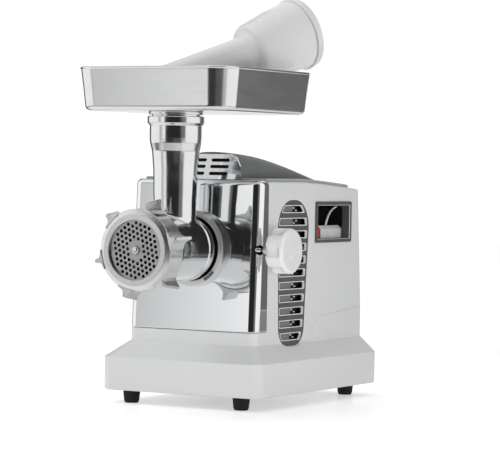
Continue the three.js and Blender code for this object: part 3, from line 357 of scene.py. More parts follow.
# Brushed finish for the ring nut's sides; its colour, darker than the satin face, paints the dark reflections
# on the wings.
brushed_with_shade = material("brushed_aluminium_painted_shade", (0.66, 0.665, 0.67), 0.14, 1.0, tone=(40, 0.08), smudge=(110, 0.1),
                   grain=(320, 0.12), fine=(1500, 0.05))
plate_steel = material("plate_steel", (0.5, 0.505, 0.51), 0.28, 1.0, tone=(120, 0.08), smudge=(200, 0.15),
                       grain=(2600, 0.1))
sheet_steel = material("tray_steel", (0.80, 0.805, 0.81), 0.13, 1.0, tone=(12, 0.03), smudge=(24, 0.05),
                       grain=(900, 0.02), stretch=(1, 1, 6))
steel = material("ground_steel", (0.60, 0.605, 0.61), 0.25, 1.0, tone=(90, 0.08), smudge=(160, 0.15),
                 grain=(1800, 0.08), stretch=(6, 1, 1))
cast = material("cast_aluminium", (0.55, 0.555, 0.56), 0.42, 1.0, tone=(60, 0.1), smudge=(120, 0.15),
                grain=(700, 0.25))
iron = material("laminations", (0.16, 0.165, 0.17), 0.5, 0.8, tone=(50, 0.15), grain=(900, 0.2),
                stretch=(1, 30, 1))
copper = material("copper", (0.62, 0.25, 0.11), 0.3, 1.0, tone=(70, 0.15), grain=(1200, 0.2), stretch=(1, 1,
                                                                                                       8))
brass = material("brass", (0.68, 0.48, 0.2), 0.28, 1.0, tone=(70, 0.1), smudge=(90, 0.1), grain=(1500, 0.06))
nylon = material("nylon", (0.74, 0.72, 0.64), 0.45, tone=(40, 0.06), grain=(1300, 0.08), through=0.3)
carbon = material("carbon", (0.025, 0.025, 0.026), 0.55, tone=(80, 0.2), grain=(1500, 0.2))


# ---------------------------------------------------------------- casing

KNOB_Y = 6.2
HOUSING = sizes("main_housing")
FASCIA = sizes("front_fascia")
BODY_HALF = 79
BODY_FRONT = FASCIA[3] + 0.3
SHELF_Z = FASCIA[4] - 0.3  # top of the ledge under the chrome front
BACK_LOW = 246.4
BACK_HIGH = BACK_LOW - 11
LEAN_FROM = 102  # the back leans forwards above this height
BACK_RADIUS = 5
FRONT_RADIUS = 9
SKIRT_RADIUS = 14
LEDGE_Y = -3.6
TOP_Z = HOUSING[5]
TOP_FALL = 7.8
FALL_FROM = 100
WALL = 3
HATCH_HALF, HATCH_FRONT, HATCH_BACK = 35, 10, 190  # opening in the roof under the dome
FASCIA_DEPTH, FASCIA_LEAN, FASCIA_WALL = 22, 0.04, 1.4


def top_fall(y):
    """How far the top has fallen at y, going back."""
    part = min(max((y - FALL_FROM) / (BACK_HIGH - FALL_FROM), 0), 1.2)
    return TOP_FALL * part ** 1.35


def top_line(y, lift):
    """Height of the roof's falling line at y, raised by lift."""
    return TOP_Z + lift - top_fall(y)


def body_ring(half, y0, y1, front, back, z, inset=0.0, sides=14):
    """Rounded rectangle seen from above with extra points down its long sides. z may be a function of y."""
    half, y0, y1 = half - inset, y0 + inset, y1 - inset
    front, back = max(front - inset, 0.3), max(back - inset, 0.3)
    corners = 9
    points = []

    def arc(cx, cy, radius, start):
        for k in range(corners + 1):
            angle = math.radians(start + 90 * k / corners)
            points.append((cx + radius * math.cos(angle), cy + radius * math.sin(angle)))

    arc(-half + front, y0 + front, front, 180)
    arc(half - front, y0 + front, front, 270)
    points += [(half, y0 + front + (y1 - back - y0 - front) * k / sides) for k in range(1, sides)]
    arc(half - back, y1 - back, back, 0)
    arc(-half + back, y1 - back, back, 90)
    points += [(-half, y1 - back - (y1 - back - y0 - front) * k / sides) for k in range(1, sides)]
    height = z if callable(z) else (lambda y: z)
    return [(u, v, height(v)) for u, v in points]


def vent_outline(grow=0.0):
    """Long oval with a broad head and a narrower foot, in (y, z)."""
    y0, y1, z0, z1 = sizes("side_vent_right")[2:]
    narrow0, narrow1 = y0 + 6, y1 - 12
    return rounded([(narrow0 - grow, z0 - grow, 21 + grow), (narrow1 + grow, z0 - grow, 21 + grow),
                    (y1 + grow, z1 + grow, 31 + grow), (y0 - grow, z1 + grow, 31 + grow)], step=6)


def housing():
    """Outer surface from the skirt up, in through the hatch, and down the inside of the walls."""
    x1, y0, y1, foot = HOUSING[1:5]
    rings = []

    def ring(*shape, **more):
        rings.append(body_ring(*shape, **more))

    def skirt(z, inset):
        ring(x1, y0, y1, SKIRT_RADIUS, SKIRT_RADIUS, z, inset=inset)

    for rise, inset in ((0, 2.0), (0.5, 0.8), (1.8, 0.1), (12, 0), (24, 0)):
        skirt(foot + rise, inset)
    # The flare: bend goes from 0 at the skirt to 1 at the body.
    for bend, z in rounded([(0, foot + 26), (0, 50, 4.5), (1, 67.5, 4.5), (1, 74)], closed=False, step=6):
        half = x1 + (BODY_HALF - x1) * bend
        front_y = y0 + (LEDGE_Y - y0) * bend
        back_y = y1 + (BACK_LOW - y1) * bend
        ring(half, front_y, back_y, SKIRT_RADIUS + (FRONT_RADIUS - SKIRT_RADIUS) * bend,
             SKIRT_RADIUS + (BACK_RADIUS - SKIRT_RADIUS) * bend, z)
    for drop, step in ((1.2, 0), (0.35, 0.35), (0, 1.2)):
        ring(BODY_HALF, LEDGE_Y + step, BACK_LOW, FRONT_RADIUS - step, BACK_RADIUS, SHELF_Z - drop)

    def upper(z, inset=0.0):
        lean = max(z - LEAN_FROM, 0) / (TOP_Z - LEAN_FROM)
        back_y = BACK_LOW + (BACK_HIGH - BACK_LOW) * lean
        part = (z - SHELF_Z) / (TOP_Z - SHELF_Z)
        ring(BODY_HALF, BODY_FRONT, back_y, 0.8, BACK_RADIUS,
             lambda y: z - top_fall(y) * part ** 1.5, inset=inset)

    upper(SHELF_Z)
    for k in range(1, 12):
        upper(SHELF_Z + 0.4 + (TOP_Z - 3.4 - SHELF_Z) * k / 11)
    for drop, inset in ((1.7, 0.25), (0.85, 0.85), (0.25, 1.7), (0, 3.0), (0, 9.0)):
        upper(TOP_Z - drop, inset)
    # The roof runs in to the hatch under the dome and back below itself.
    for drop in (0, WALL):
        ring(HATCH_HALF, HATCH_FRONT, HATCH_BACK, 0.8, 2, lambda y: top_line(y, -drop))
    upper(TOP_Z - WALL, 4.0)
    upper(SHELF_Z + 6, WALL)
    ring(BODY_HALF, BODY_FRONT, BACK_LOW, 0.8, BACK_RADIUS, foot + 50, inset=WALL)
    skirt(foot + 28, WALL)
    skirt(foot, WALL)
    shell = mesh_of("body_shell", [skin(rings, joined=True)])
    fit = 0.4  # gap round the switch frame
    y0, y1, z0, z1 = sizes("switch_bezel")[2:]
    switch_hole = rounded_box(y0 - fit, y1 + fit, z0 - fit, z1 + fit, 1.6)
    x0, x1, _, _, z0, z1 = sizes("cord_gland")
    gland_hole = circle((x0 + x1) / 2, (z0 + z1) / 2, 7.6, 32)
    combine(shell, [
        slab(vent_outline(0.5), [], along_x, -90, -60),
        slab(vent_outline(0.5), [], along_x, 60, 90),
        slab(switch_hole, [], along_x, 60, 90),
        slab(circle(0, AXIS, 60, 48), [], along_y, 10, 40),
        slab(gland_hole, [], along_y, 225, 255),
    ])
    badge = rounded([(122, 61), (143.5, 94, 2.5), (240, 101), (240, 61)], step=15)
    plaque = mesh_of("plaque", [slab(badge, [], along_x, BODY_HALF - 1.5, BODY_HALF + 0.9)])
    soften(plaque, 0.7)
    return merge("body_shell", [shell, plaque])


def merge(name, objects):
    """Joins finished meshes into one object."""
    work = bmesh.new()
    for obj in objects:
        work.from_mesh(obj.data)
        bpy.data.objects.remove(obj)
    mesh = bpy.data.meshes.new(name)
    work.to_mesh(mesh)
    work.free()
    return placed(name, mesh)


finish(housing(), "machine", ["main_housing"], [white], sharp=40)


def fascia():
    """Chrome front: a shallow box whose front leans back a little and whose edges are well rounded."""
    half, foot, top = FASCIA[1], FASCIA[4], FASCIA[5]
    edge, corner, wall = 6, 10, FASCIA_WALL
    rings = []

    def level(z, inset=0.0, inward=0.0):
        front = FASCIA_LEAN * (z - AXIS) + inset
        rings.append(body_ring(half - inset, front, FASCIA_DEPTH, corner - inset, 0.6, z, inward, sides=3))

    for rise, inset in ((0, 1.0), (0.4, 0.3), (1.2, 0), (40, 0), (90, 0), (140, 0)):
        level(foot + rise, inset)
    for sine, cosine in quarter():
        level(top - edge + edge * sine, edge - edge * cosine)
    level(top - wall, 7, wall)
    level(top - edge, 1, wall)
    level(foot + 40, 0, wall)
    level(foot, 1, wall)
    shell = mesh_of("front_panel", [skin(rings, joined=True)])
    return combine(shell, [slab(circle(0, AXIS, 34, 64), [], along_y, -20, 12),
                           slab(circle(0, AXIS, 50, 64), [], along_y, 14, 30),
                           slab(circle(KNOB_Y, AXIS, 5.4, 32), [], along_x, 60, 90)])


finish(fascia(), "machine", ["front_fascia"], [chrome], sharp=30)


def from_axis(face):
    """Distance of a face's middle from the head's axis."""
    return math.hypot(face.center.x - HEAD_X, face.center.z - AXIS * MM) / MM


def socket():
    """Ring in which the head sits: a satin face round a bore painted black as its shade."""
    front, bore = SOCKET_FRONT, 34.9
    profile = rounded([(32.3, 24), (35, 24), (41, 10), (41, front, 0.9), (35.3, front, 0.6),
                       (34.7, front + 2), (34.7, -3.5), (32.6, -3.5), (32.3, 0)], step=15)
    ring = mesh_of("socket_ring", [turned(profile, round_y(0, AXIS), 128)])

    # Faces inside the bore take the black of painted shade.
    def inside(face):
        return 1 if from_axis(face) < bore else 0

    return finish(ring, "machine", ["head_socket"], [satin, shade_and_print_black], pick=inside)


socket()


def socket_marks():
    """Six short dark lines on the lower right of the socket ring."""
    inner, outer, half = 36.2, 39.9, 0.85
    parts = []
    for k in range(6):
        angle = math.radians(-41 - 3.6 * k)
        along = Vector((math.cos(angle), math.sin(angle)))
        across = Vector((-math.sin(angle), math.cos(angle)))
        corners = [along * inner - across * half, along * outer - across * half,
                   along * outer + across * half, along * inner + across * half]
        outline = [(p.x, p.y + AXIS) for p in corners]
        parts.append(slab(outline, [], along_y, SOCKET_FRONT - 0.08, SOCKET_FRONT + 0.2))
    return mesh_of("socket_marks", parts)


finish(socket_marks(), "machine", [], [shade_and_print_black])


# ---------------------------------------------------------------- side vents

VENT_TOP, VENT_PITCH, VENT_SLOTS, SLOT_HALF = 223.4, 13.9, 11, 4.1


def vent_sides(z):
    """The vent's y from and to at height z, from its outline."""
    points = vent_outline()
    found = []
    for (y0, z0), (y1, z1) in zip(points, points[1:] + points[:1]):
        if (z0 - z) * (z1 - z) <= 0 and z0 != z1:
            found.append(y0 + (y1 - y0) * (z - z0) / (z1 - z0))
    return min(found), max(found)


def vent_slots(grow=0.0):
    """Outline of each slot. The first and the last follow the round ends of the vent."""
    outlines = []
    for i in range(VENT_SLOTS):
        z = VENT_TOP - 10 - i * VENT_PITCH
        high, low = z + SLOT_HALF + grow, z - SLOT_HALF - grow
        high0, high1 = vent_sides(z + SLOT_HALF)
        low0, low1 = vent_sides(z - SLOT_HALF)
        outlines.append(rounded([(low0 + 3.4 - grow, low, 1.6), (low1 - 3.8 + grow, low, 1.6),
                                 (high1 - 3.8 + grow, high, 2.2), (high0 + 3.4 - grow, high, 1.2)], step=18))
    return outlines


def vent(side):
    """Slotted oval grille with pale rims that paint the highlights on its edges, a black backing that paints
    the shade inside, and a grey floor and pale bits in each slot.
    """
    name = "right" if side > 0 else "left"
    node = f"side_vent_{name}"
    face = sizes(node)[1] if side > 0 else sizes(node)[0]
    louvre = mesh_of(f"vent_{name}", [slab(vent_outline(), vent_slots(), along_x, face - side * 3, face)])
    soften(louvre, 0.35, 2)
    finish(louvre, "machine", [node], [dark])
    # The pale rims round each slot and round the vent are painted highlights on those edges.
    slot_highlights = [slab(outer, [inner], along_x, face - side * 2.2, face + side * 0.15)
            for outer, inner in zip(vent_slots(0.2), vent_slots(-0.6))]
    border_highlight = slab(vent_outline(0.55), [vent_outline(-0.1)], along_x, face - side * 1.5, face + side * 0.5)
    edge_highlights = mesh_of(f"vent_highlight_rims_{name}", slot_highlights + [border_highlight])
    finish(edge_highlights, "machine", [], [pale])
    inner = face - side * 6
    # Black plate behind the slots: painted shade inside the machine.
    back = slab(vent_outline(-1), [], along_x, inner - side * 2, inner - side)
    shade_backing = mesh_of(f"vent_shade_back_{name}", [back])
    finish(shade_backing, "machine", [], [shade_and_print_black])
    floors, bits = [], []
    for i, outline in enumerate(vent_slots()):
        y0, y1 = min(p[0] for p in outline), max(p[0] for p in outline)
        z0, z1 = min(p[1] for p in outline), max(p[1] for p in outline)
        split = y0 + 0.56 * (y1 - y0)
        floor_outline = rounded_box(y0 - 1, split, z0 - 1, z1 + 1, 0.6)
        floors.append(slab(floor_outline, [], along_x, face - side * 4.2, face - side * 3.1))
        middle = (z0 + z1) / 2
        for k, size in enumerate((2.1, 1.5, 1.2)):
            y, z = split + 2.6 + 5.6 * k, middle - 1.6 + 2.6 * ((i + k) % 2)
            button = rounded([(0, 0), (size, 0), (size, 1.6, 0.8), (0, 1.6)], closed=False)

            def on_backing(u, v, w, y=y, z=z):
                return (inner - side * 0.9 + side * w, y + u, z + v * 0.8)

            bits.append(turned(button, on_backing, 16))
    finish(mesh_of(f"vent_floors_{name}", floors), "machine", [], [grey])
    finish(mesh_of(f"vent_bits_{name}", bits), "machine", [], [pale])


for vent_side in (1, -1):
    vent(vent_side)


# ---------------------------------------------------------------- switches

BEZEL = sizes("switch_bezel")
WELL = sizes("switch_well")


def bezel():
    x0, x1, y0, y1, z0, z1 = BEZEL
    outer = rounded_box(y0, y1, z0, z1, 1.4)
    inner = rounded_box(y0 + 3.4, y1 - 3.4, z0 + 3.4, z1 - 3.4, 0.8)
    frame_piece = mesh_of("switch_frame", [slab(outer, [inner], along_x, x0, x1)])
    soften(frame_piece, 0.5)
    finish(frame_piece, "machine", ["switch_bezel"], [dark])
    lip_outer = rounded_box(y0 + 3.2, y1 - 3.2, z0 + 3.2, z1 - 3.2, 0.8)
    lip_inner = rounded_box(y0 + 3.9, y1 - 3.9, z0 + 3.9, z1 - 3.9, 0.6)
    lip = mesh_of("switch_lip", [slab(lip_outer, [lip_inner], along_x, x1 - 1.2, x1 - 0.25)])
    finish(lip, "machine", [], [white])


bezel()


def well():
    """Tub behind the keys, with a thin pale arc painted as a reflection on its glossy inside, and a grey
    right wall.
    """
    x0, x1, y0, y1, z0, z1 = WELL
    wall = 1.4
    outer = rounded_box(y0, y1, z0, z1, 1.2)
    inner = rounded_box(y0 + wall, y1 - wall, z0 + wall, z1 - wall, 1.6)
    tub = mesh_of("switch_tub", [slab(outer, [inner], along_x, x0 + 1, x1),
                                 slab(outer, [], along_x, x0, x0 + 1.6)])
    soften(tub, 0.3, 2)
    finish(tub, "machine", ["switch_well"], [gloss])

    def sweep(radius):
        angles = [math.radians(angle) for angle in range(96, 176, 4)]
        return [(y1 - 4 + radius * math.cos(angle), z0 + 14 + radius * math.sin(angle)) for angle in angles]

    # The pale arc is a painted reflection on the glossy tub.
    glint = mesh_of("switch_painted_reflection", [slab(sweep(30) + sweep(28.2)[::-1], [], along_x, x1 - 6, x1 - 4.6)])
    finish(glint, "machine", [], [pale])
    side_outline = rounded_box(x1 - 13, x1 - 0.8, z0 + 7.5, z0 + 20, 1.5)
    side = mesh_of("switch_side", [slab(side_outline, [], along_y, y1 - wall - 0.9, y1 - wall + 0.2)])
    finish(side, "machine", [], [light_grey])


well()


def key(name, look):
    """Rocker key with a hollowed top, drawn from the side. Its body has the key's own name."""
    _, face, y0, y1, z0, z1 = sizes(name)
    root = 50
    side = rounded([(face, z0 + 0.4, 1), (face, z1 - 4.6, 1.2), (face - 3.5, z1, 1.2),
                    (face - 9, z1 - 1.6, 1), (root, z1 - 3), (root, z0 + 1)], step=20)
    cap = mesh_of(name + "_cap", [slab(side, [], along_y, y0, y1)])
    soften(cap, 0.5)
    finish(cap, name, [name], [look])


key("stop_key", red)
for key_name in ("reverse_key", "slow_key", "fast_key"):
    key(key_name, white)


# ---------------------------------------------------------------- top

DOME_FRONT, DOME_BACK = sizes("dome_cover")[2:4]
DOME_HALF, DOME_LEAN, DOME_HEIGHT = 40, 12, 27.6
DOME_FALL_FROM, DOME_FALL_OVER = 31, 200
DOME_WALL = 2.2
DOME_SEAT = 3.4  # the dome stands this far above the roof's line
GRILLE_Y, GRILLE_Z, GRILLE_RAKE = 22, 244.7, math.radians(20)


def top_plate():
    """Band on the roof, open under the dome and notched for the grille."""
    _, x1, y0, y1, _, z1 = sizes("top_plate")
    lift = z1 - TOP_Z
    rings = []
    for height, inset in ((0.3, 0.4), (0.6, 0.1), (lift - 1.2, 0), (lift - 0.5, 0.3),
                          (lift - 0.1, 0.9), (lift, 1.8)):
        rings.append(body_ring(x1, y0, y1, 1.5, 22, lambda y: top_line(y, height), inset))
    band = mesh_of("top_band", [skin(rings)])
    opening = [(-34.5, 0), (34.5, 0), (34.5, 189), (-34.5, 189)]
    notch = rounded_box(-45, 45, 0, 28.2, 2)
    combine(band, [slab(outline, [], along_z, 200, 300) for outline in (opening, notch)])
    return finish(band, "machine", ["top_plate"], [light_grey])


top_plate()


def raked(u, v, w):
    """Point u across, v up the grille's face and w in from it."""
    return (u, GRILLE_Y + w * math.cos(GRILLE_RAKE) + v * math.sin(GRILLE_RAKE),
            GRILLE_Z - w * math.sin(GRILLE_RAKE) + v * math.cos(GRILLE_RAKE))


def dome_height(y):
    return DOME_HEIGHT * (1 - (max(0.0, y - DOME_FALL_FROM) / DOME_FALL_OVER) ** 1.9)


def dome_section(y, inset=0.0, drop=0.0, count=36):
    """Cross-section at y: a flat crown with round shoulders and leaning sides."""
    high = dome_height(y) - inset + drop
    squareness = 0.62
    points = []
    for k in range(count + 1):
        angle = math.pi * k / count
        across, up = math.cos(angle), math.sin(angle)
        reach = DOME_HALF - inset - DOME_LEAN * up ** 3
        x = reach * abs(across) ** squareness * (1 if across > 0 else -1)
        points.append((x, y, top_line(y, DOME_SEAT - drop) + high * up ** squareness))
    return points


def dome():
    """Hollow cover, closed at the back and cut off in front along the grille's rake."""
    start, end, spans = DOME_FRONT - 2, DOME_BACK, 32
    rings = [dome_section(start + (end - 1.2 - start) * k / spans) for k in range(spans + 1)]
    rings += [dome_section(end - 0.4, 0.3), dome_section(end, 1.0)]
    cover = mesh_of("top_dome", [skin(rings)])
    hollow = skin([dome_section(start - 2 + (end - 5 - start) * k / spans, DOME_WALL, 0.6)
                   for k in range(spans + 1)])
    corners = ((-20, -60), (-20, 3.3), (60, 3.3), (60, -60))
    before_grille = skin([[raked(x, v, w) for v, w in corners] for x in (-60, 60)])
    combine(cover, [hollow, before_grille])
    return finish(cover, "machine", ["dome_cover"], [grey], sharp=40)


dome()


def grille():
    """Raked chrome plate with six slots, and the dark behind them."""
    outline = rounded([(-44, 0, 1.5), (44, 0, 1.5), (41, 14, 20), (31, 29, 8), (-31, 29, 8), (-41, 14, 20)],
                      step=8)
    slots = [rounded_box(u0, u1, v - 1.9, v + 1.9, 1.85, step=15)
             for u0, u1 in ((-26, -3), (3, 26)) for v in (6.5, 14.5, 22)]
    face = mesh_of("top_grille", [slab(outline, slots, raked, 0, 3)])
    soften(face, 0.7)
    finish(face, "machine", ["top_vent_grille"], [chrome])
    inner = [(u * 0.92, v * 0.9 + 1) for u, v in outline]
    back = mesh_of("grille_shadow", [slab(inner, [], raked, 5, 6)])
    finish(back, "machine", [], [shade_and_print_black])


grille()


# ---------------------------------------------------------------- grinding head

THROAT_Y = -41
THROAT_RADIUS, THROAT_FILLET = 22.6, 4.5


def throat(count=96):
    """Flared pipe on the barrel, with a fillet that follows the barrel's round top."""
    barrel_radius = 34.9
    wide = THROAT_RADIUS + THROAT_FILLET
    rings = []

    def saddle(radius, above, sink=0.0):
        rings.append([(x, THROAT_Y + y, AXIS + math.sqrt(barrel_radius ** 2 - x * x) + above - sink)
                      for x, y in circle(0, 0, radius, count)])

    saddle(wide, -8)
    saddle(wide, -0.35)
    for sine, cosine in quarter()[1:]:
        saddle(wide - THROAT_FILLET * sine, THROAT_FILLET - THROAT_FILLET * cosine, 0.3)
    profile = rounded([(22.7, 52), (23.2, 60, 40), (23.6, 84, 30), (25.3, 104, 8), (27.5, 112.5, 4),
                       (28, 118, 6), (28, 131, 1.2), (30.5, 133.6, 1.2), (30.5, 140, 0.9), (29.4, 141, 0.5),
                       (26.6, 141)], closed=False, step=10)
    for radius, z in profile:
        rings.append([(x, THROAT_Y + y, AXIS + z) for x, y in circle(0, 0, radius, count)])
    return skin(rings)


def barrel_patch():
    """Plain raised patch on the barrel's right side."""
    angles = [math.radians(angle) for angle in range(-18, 16, 3)]
    corners = ((33.5, -66), (33.5, -48), (36.1, -48), (36.1, -66))
    return skin([[(radius * math.cos(angle), y, AXIS + radius * math.sin(angle)) for radius, y in corners]
                 for angle in angles])


def head():
    """Barrel and throat in one casting, bored through."""
    front = sizes("head_body")[2]
    outer = rounded([(0, front), (39.6, front, 0.8), (39.6, -92, 0.8), (37.4, -90.6, 0.8), (36.2, -80, 6),
                     (34.2, -26, 1.5), (35.2, -24.2, 0.7), (35.2, -19, 0.7), (33.4, -17.2, 0.6),
                     (33.4, -13, 0.8), (31.6, -11, 0.5), (31.6, 18, 0.8), (0, 18)], closed=False, step=15)
    barrel = mesh_of("head_casting", [turned(outer, round_y(0, AXIS), 128)])
    combine(barrel, [throat()], "UNION")
    bore = rounded([(0, front - 5), (35.3, front - 5), (35.3, -110.2), (33, -110.2), (28.5, -12), (11, -12),
                    (11, 30), (0, 30)], closed=False)
    mouth = [(radius, AXIS + z) for radius, z in ((0, 5), (20.6, 5), (20.6, 133.7), (26.4, 133.7),
                                                  (26.4, 145), (0, 145))]
    combine(barrel, [turned(bore, round_y(0, AXIS), 96), turned(mouth, round_z(0, THROAT_Y), 96)])
    combine(barrel, [barrel_patch()], "UNION")
    return finish(barrel, "head", ["head_body"], [polished], sharp=30)


head()


def wing_ring(y, reach, shrink=0.0):
    """Outline of a wing at y: thin at the tip, spreading in a curve into the ring."""
    half = [(41.4, 10.5), (43, 8.2), (43.8, 6.4), (44.9, 4.8), (46.6, 3.5), (49.5, 2.6), (53.6, 2.0),
            (54.9, 1.5), (55.2, 0.7)]
    root, full = 42, half[-1][0]
    scale = (reach - root) / (full - root)
    side = [(root + (out - root) * scale if out > root else out, across - shrink * (out > 43.5))
            for out, across in half]
    points = side + [(out, -across) for out, across in side[::-1]]
    return [(out, across, y) for out, across in points]


def ring_nut():
    """Ring with six wings: a satin front face and brushed sides, their darker colour painted shade."""
    profile = rounded([(31.6, -118), (31.6, -120.6, 0.35), (32.1, -121, 0.3), (37.6, -121, 3),
                       (43, -118.2, 1.2), (43, -93, 0.8), (40.2, -93, 0.5), (40.2, -118)], step=12)
    ring = mesh_of("ring_grip", [turned(profile, round_y(0, AXIS), 144)])
    wings = []
    for k in range(6):
        angle = math.radians(15 + 60 * k)
        cosine, sine = math.cos(angle), math.sin(angle)
        rings = []
        for y, reach, shrink in ((-119.6, 49.6, 0.7), (-119.2, 50.8, 0.25), (-118.4, 51.4, 0),
                                 (-106, 53.2, 0), (-94.3, 55.1, 0), (-93.8, 54.9, 0.2), (-93.5, 54.2, 0.6)):
            rings.append([(out * cosine - across * sine, w, AXIS + out * sine + across * cosine)
                          for out, across, w in wing_ring(y, reach, shrink)])
        wings.append(skin(rings))
    combine(ring, wings, "UNION")

    def satin_front(face):
        return 0 if face.normal.y < -0.55 and from_axis(face) < 43.2 else 1

    return finish(ring, "ring", ["ring_nut"], [satin, brushed_with_shade], sharp=28, pick=satin_front)


ring_nut()


def plate():
    """Hole plate: a hexagonal field of holes in a ring round the pin."""
    y0, y1 = sizes("grinding_plate")[2:4]
    pitch, turn, clear, reach = 5.6, math.radians(-20), 9, 28.6
    holes = [circle(0, AXIS, 4.5, 32)]
    for row in range(-6, 7):
        for column in range(-12, 13):
            across = (column + 0.5 + (row + 0.5) / 2) * pitch
            along = (row + 0.5) * pitch * math.sqrt(0.75)
            u = across * math.cos(turn) - along * math.sin(turn)
            v = across * math.sin(turn) + along * math.cos(turn)
            if clear < math.hypot(u, v) < reach:
                holes.append(circle(u, AXIS + v, 1.85, 18))
    disc = mesh_of("hole_plate", [slab(circle(0, AXIS, 35, 128), holes, along_y, y0, y1)])
    soften(disc, 0.18, 2)
    return finish(disc, "head", ["grinding_plate"], [plate_steel])


plate()

pin = rounded([(0, -112), (4.2, -112), (4.2, -119, 1.3), (3.2, -120.6, 1.6),
               (0, -120.9)], closed=False, step=10)
plate_pin = mesh_of("plate_pin", [turned(pin, round_y(0, AXIS), 48)])
finish(plate_pin, "auger", [], [polished])


# ---------------------------------------------------------------- tray and pusher

TRAY = sizes("tray")
TRAY_FLOOR = 315.8


def tray_ring(z, shrink, corners=16):
    """Rounded square at height z, smaller than the tray's box by shrink all round."""
    half, y0, y1 = TRAY[1] - shrink, TRAY[2] + shrink, TRAY[3] - shrink
    radius = max(26.4 - shrink * 0.6, 2)
    points = []
    for cx, cy, start in ((-half + radius, y0 + radius, 180), (half - radius, y0 + radius, 270),
                          (half - radius, y1 - radius, 0), (-half + radius, y1 - radius, 90)):
        for k in range(corners + 1):
            angle = math.radians(start + 90 * k / corners)
            points.append((cx + radius * math.cos(angle), cy + radius * math.sin(angle), z))
    return points


def tray():
    """Pressed pan with leaning walls and a rolled rim, and the collar that sits in the throat."""
    rim, wall, bend, bead = TRAY[5], 1.3, 5.6, 0.9
    waist = rim - 22
    slope = 4.6 / (rim - TRAY_FLOOR)
    rings = []

    def shrink_at(z):
        return bead + slope * (rim - z)

    at_bend = shrink_at(TRAY_FLOOR + bend)
    for sine, cosine in quarter():
        rings.append(tray_ring(TRAY_FLOOR + bend - bend * cosine, at_bend + bend - bend * sine))
    rings.append(tray_ring(waist, shrink_at(waist)))
    for drop, out in ((3.2, 0), (2.6, 0.15), (2.2, 0.55), (1.5, 0.9), (0.8, 0.75), (0.25, 0.3), (0, -0.4),
                      (0.25, -1.0), (0.9, -1.35), (2.6, -1.4)):
        rings.append(tray_ring(rim - drop, bead - out))
    rings.append(tray_ring(waist, shrink_at(waist) + wall))
    inner = bend - wall
    for sine, cosine in quarter()[::-1]:
        rings.append(tray_ring(TRAY_FLOOR + bend - inner * cosine, at_bend + wall + inner - inner * sine))
    pan = mesh_of("feed_tray", [skin(rings)])
    low = TRAY[4]
    collar = rounded([(23.9, low), (26, low, 0.4), (26, low + 8), (29, low + 8.2, 0.6),
                      (29, TRAY_FLOOR - 0.6, 1.2), (32, TRAY_FLOOR + 0.5), (23.9, TRAY_FLOOR + 0.5)], step=15)
    combine(pan, [turned(collar, round_z(0, THROAT_Y), 96)], "UNION")
    combine(pan, [slab(circle(0, THROAT_Y, 24, 96), [], along_z, 290, 330)])
    return finish(pan, "tray", ["tray"], [sheet_steel], sharp=30)


tray()

RIM_CENTRE = (33.5, 160.6, 408.2)
HEADING, TILT = math.radians(26.5), math.radians(19.4)


def pusher_frame(u, v, w):
    """u across, v up and w along the pusher, from the middle of its rim."""
    y = w * math.cos(TILT) - v * math.sin(TILT)
    z = w * math.sin(TILT) + v * math.cos(TILT)
    return (RIM_CENTRE[0] + u * math.cos(HEADING) + y * math.sin(HEADING),
            RIM_CENTRE[1] - u * math.sin(HEADING) + y * math.cos(HEADING), RIM_CENTRE[2] + z)


stem = rounded([(0, -206), (19.4, -206, 3), (20.0, -67, 2.2), (29.8, -67, 1.8), (31.4, -63.5, 3),
                (37.0, -30, 60), (39.3, -2.4, 0.8), (39.3, -1.1, 0.7), (37.1, -0.5), (34.6, -34), (28.5, -60),
                (0, -62.5)], closed=False, step=8)
pusher = mesh_of("pusher_stem", [turned(stem, pusher_frame, 128)])
finish(pusher, "pusher", ["pusher"], [pale])
lid = rounded([(0, 6), (33, 6, 1), (35.5, 7.9, 1), (40.6, 7.9, 1.4), (41.5, 0, 0.8), (36.6, 0),
               (36.6, -5, 0.4), (34.8, -5, 0.4), (34.8, 4), (0, 4)], closed=False, step=10)
pusher_cap = mesh_of("pusher_lid", [turned(lid, pusher_frame, 128)])
finish(pusher_cap, "pusher_cap", ["pusher_cap"], [pale])


# ---------------------------------------------------------------- lock knob

KNOB = sizes("lock_knob")


def knob():
    """Hand knob with six scooped flutes, one of them facing the front."""
    face, back, full, edge = KNOB[1], 96, 24.2, 3.6
    flute_half, flute_depth = 16, 4.4  # degrees and mm
    count = 240

    def outline(inset, x):
        """Fluted ring at x. The flutes fade out towards the face."""
        fade = min(max((face - 3 - x) / 4, 0.12), 1)
        ring = []
        for i in range(count):
            angle = 2 * math.pi * i / count
            off = (math.degrees(angle) + 30) % 60 - 30
            scoop = max(0.0, 1 - (abs(off) / flute_half) ** 2.6)
            radius = full - inset - flute_depth * scoop ** 0.7 * fade * fade * (3 - 2 * fade)
            ring.append((x, KNOB_Y + radius * math.cos(angle), AXIS + radius * math.sin(angle)))
        return ring

    rings = [outline(inset, back + out) for inset, out in ((9, -0.6), (4.5, -0.4), (2.0, 0.5), (0.8, 1.8),
                                                           (0.2, 3.6), (0, 6))]
    rings += [outline(0, back + 6 + k) for k in range(1, round(face - back - 9.6))]
    rings += [outline(edge - edge * cosine, face - edge + edge * sine) for sine, cosine in quarter()]
    grip = mesh_of("knob_grip", [skin(rings)])
    neck = rounded([(0, 88.2), (6.2, 88.2, 0.8), (7.2, 93, 2), (10.5, 96.5), (0, 96.5)], closed=False)
    combine(grip, [turned(neck, round_x(KNOB_Y, AXIS), 64)], "UNION")
    return finish(grip, "lock", ["lock_knob"], [knob_white], sharp=38)


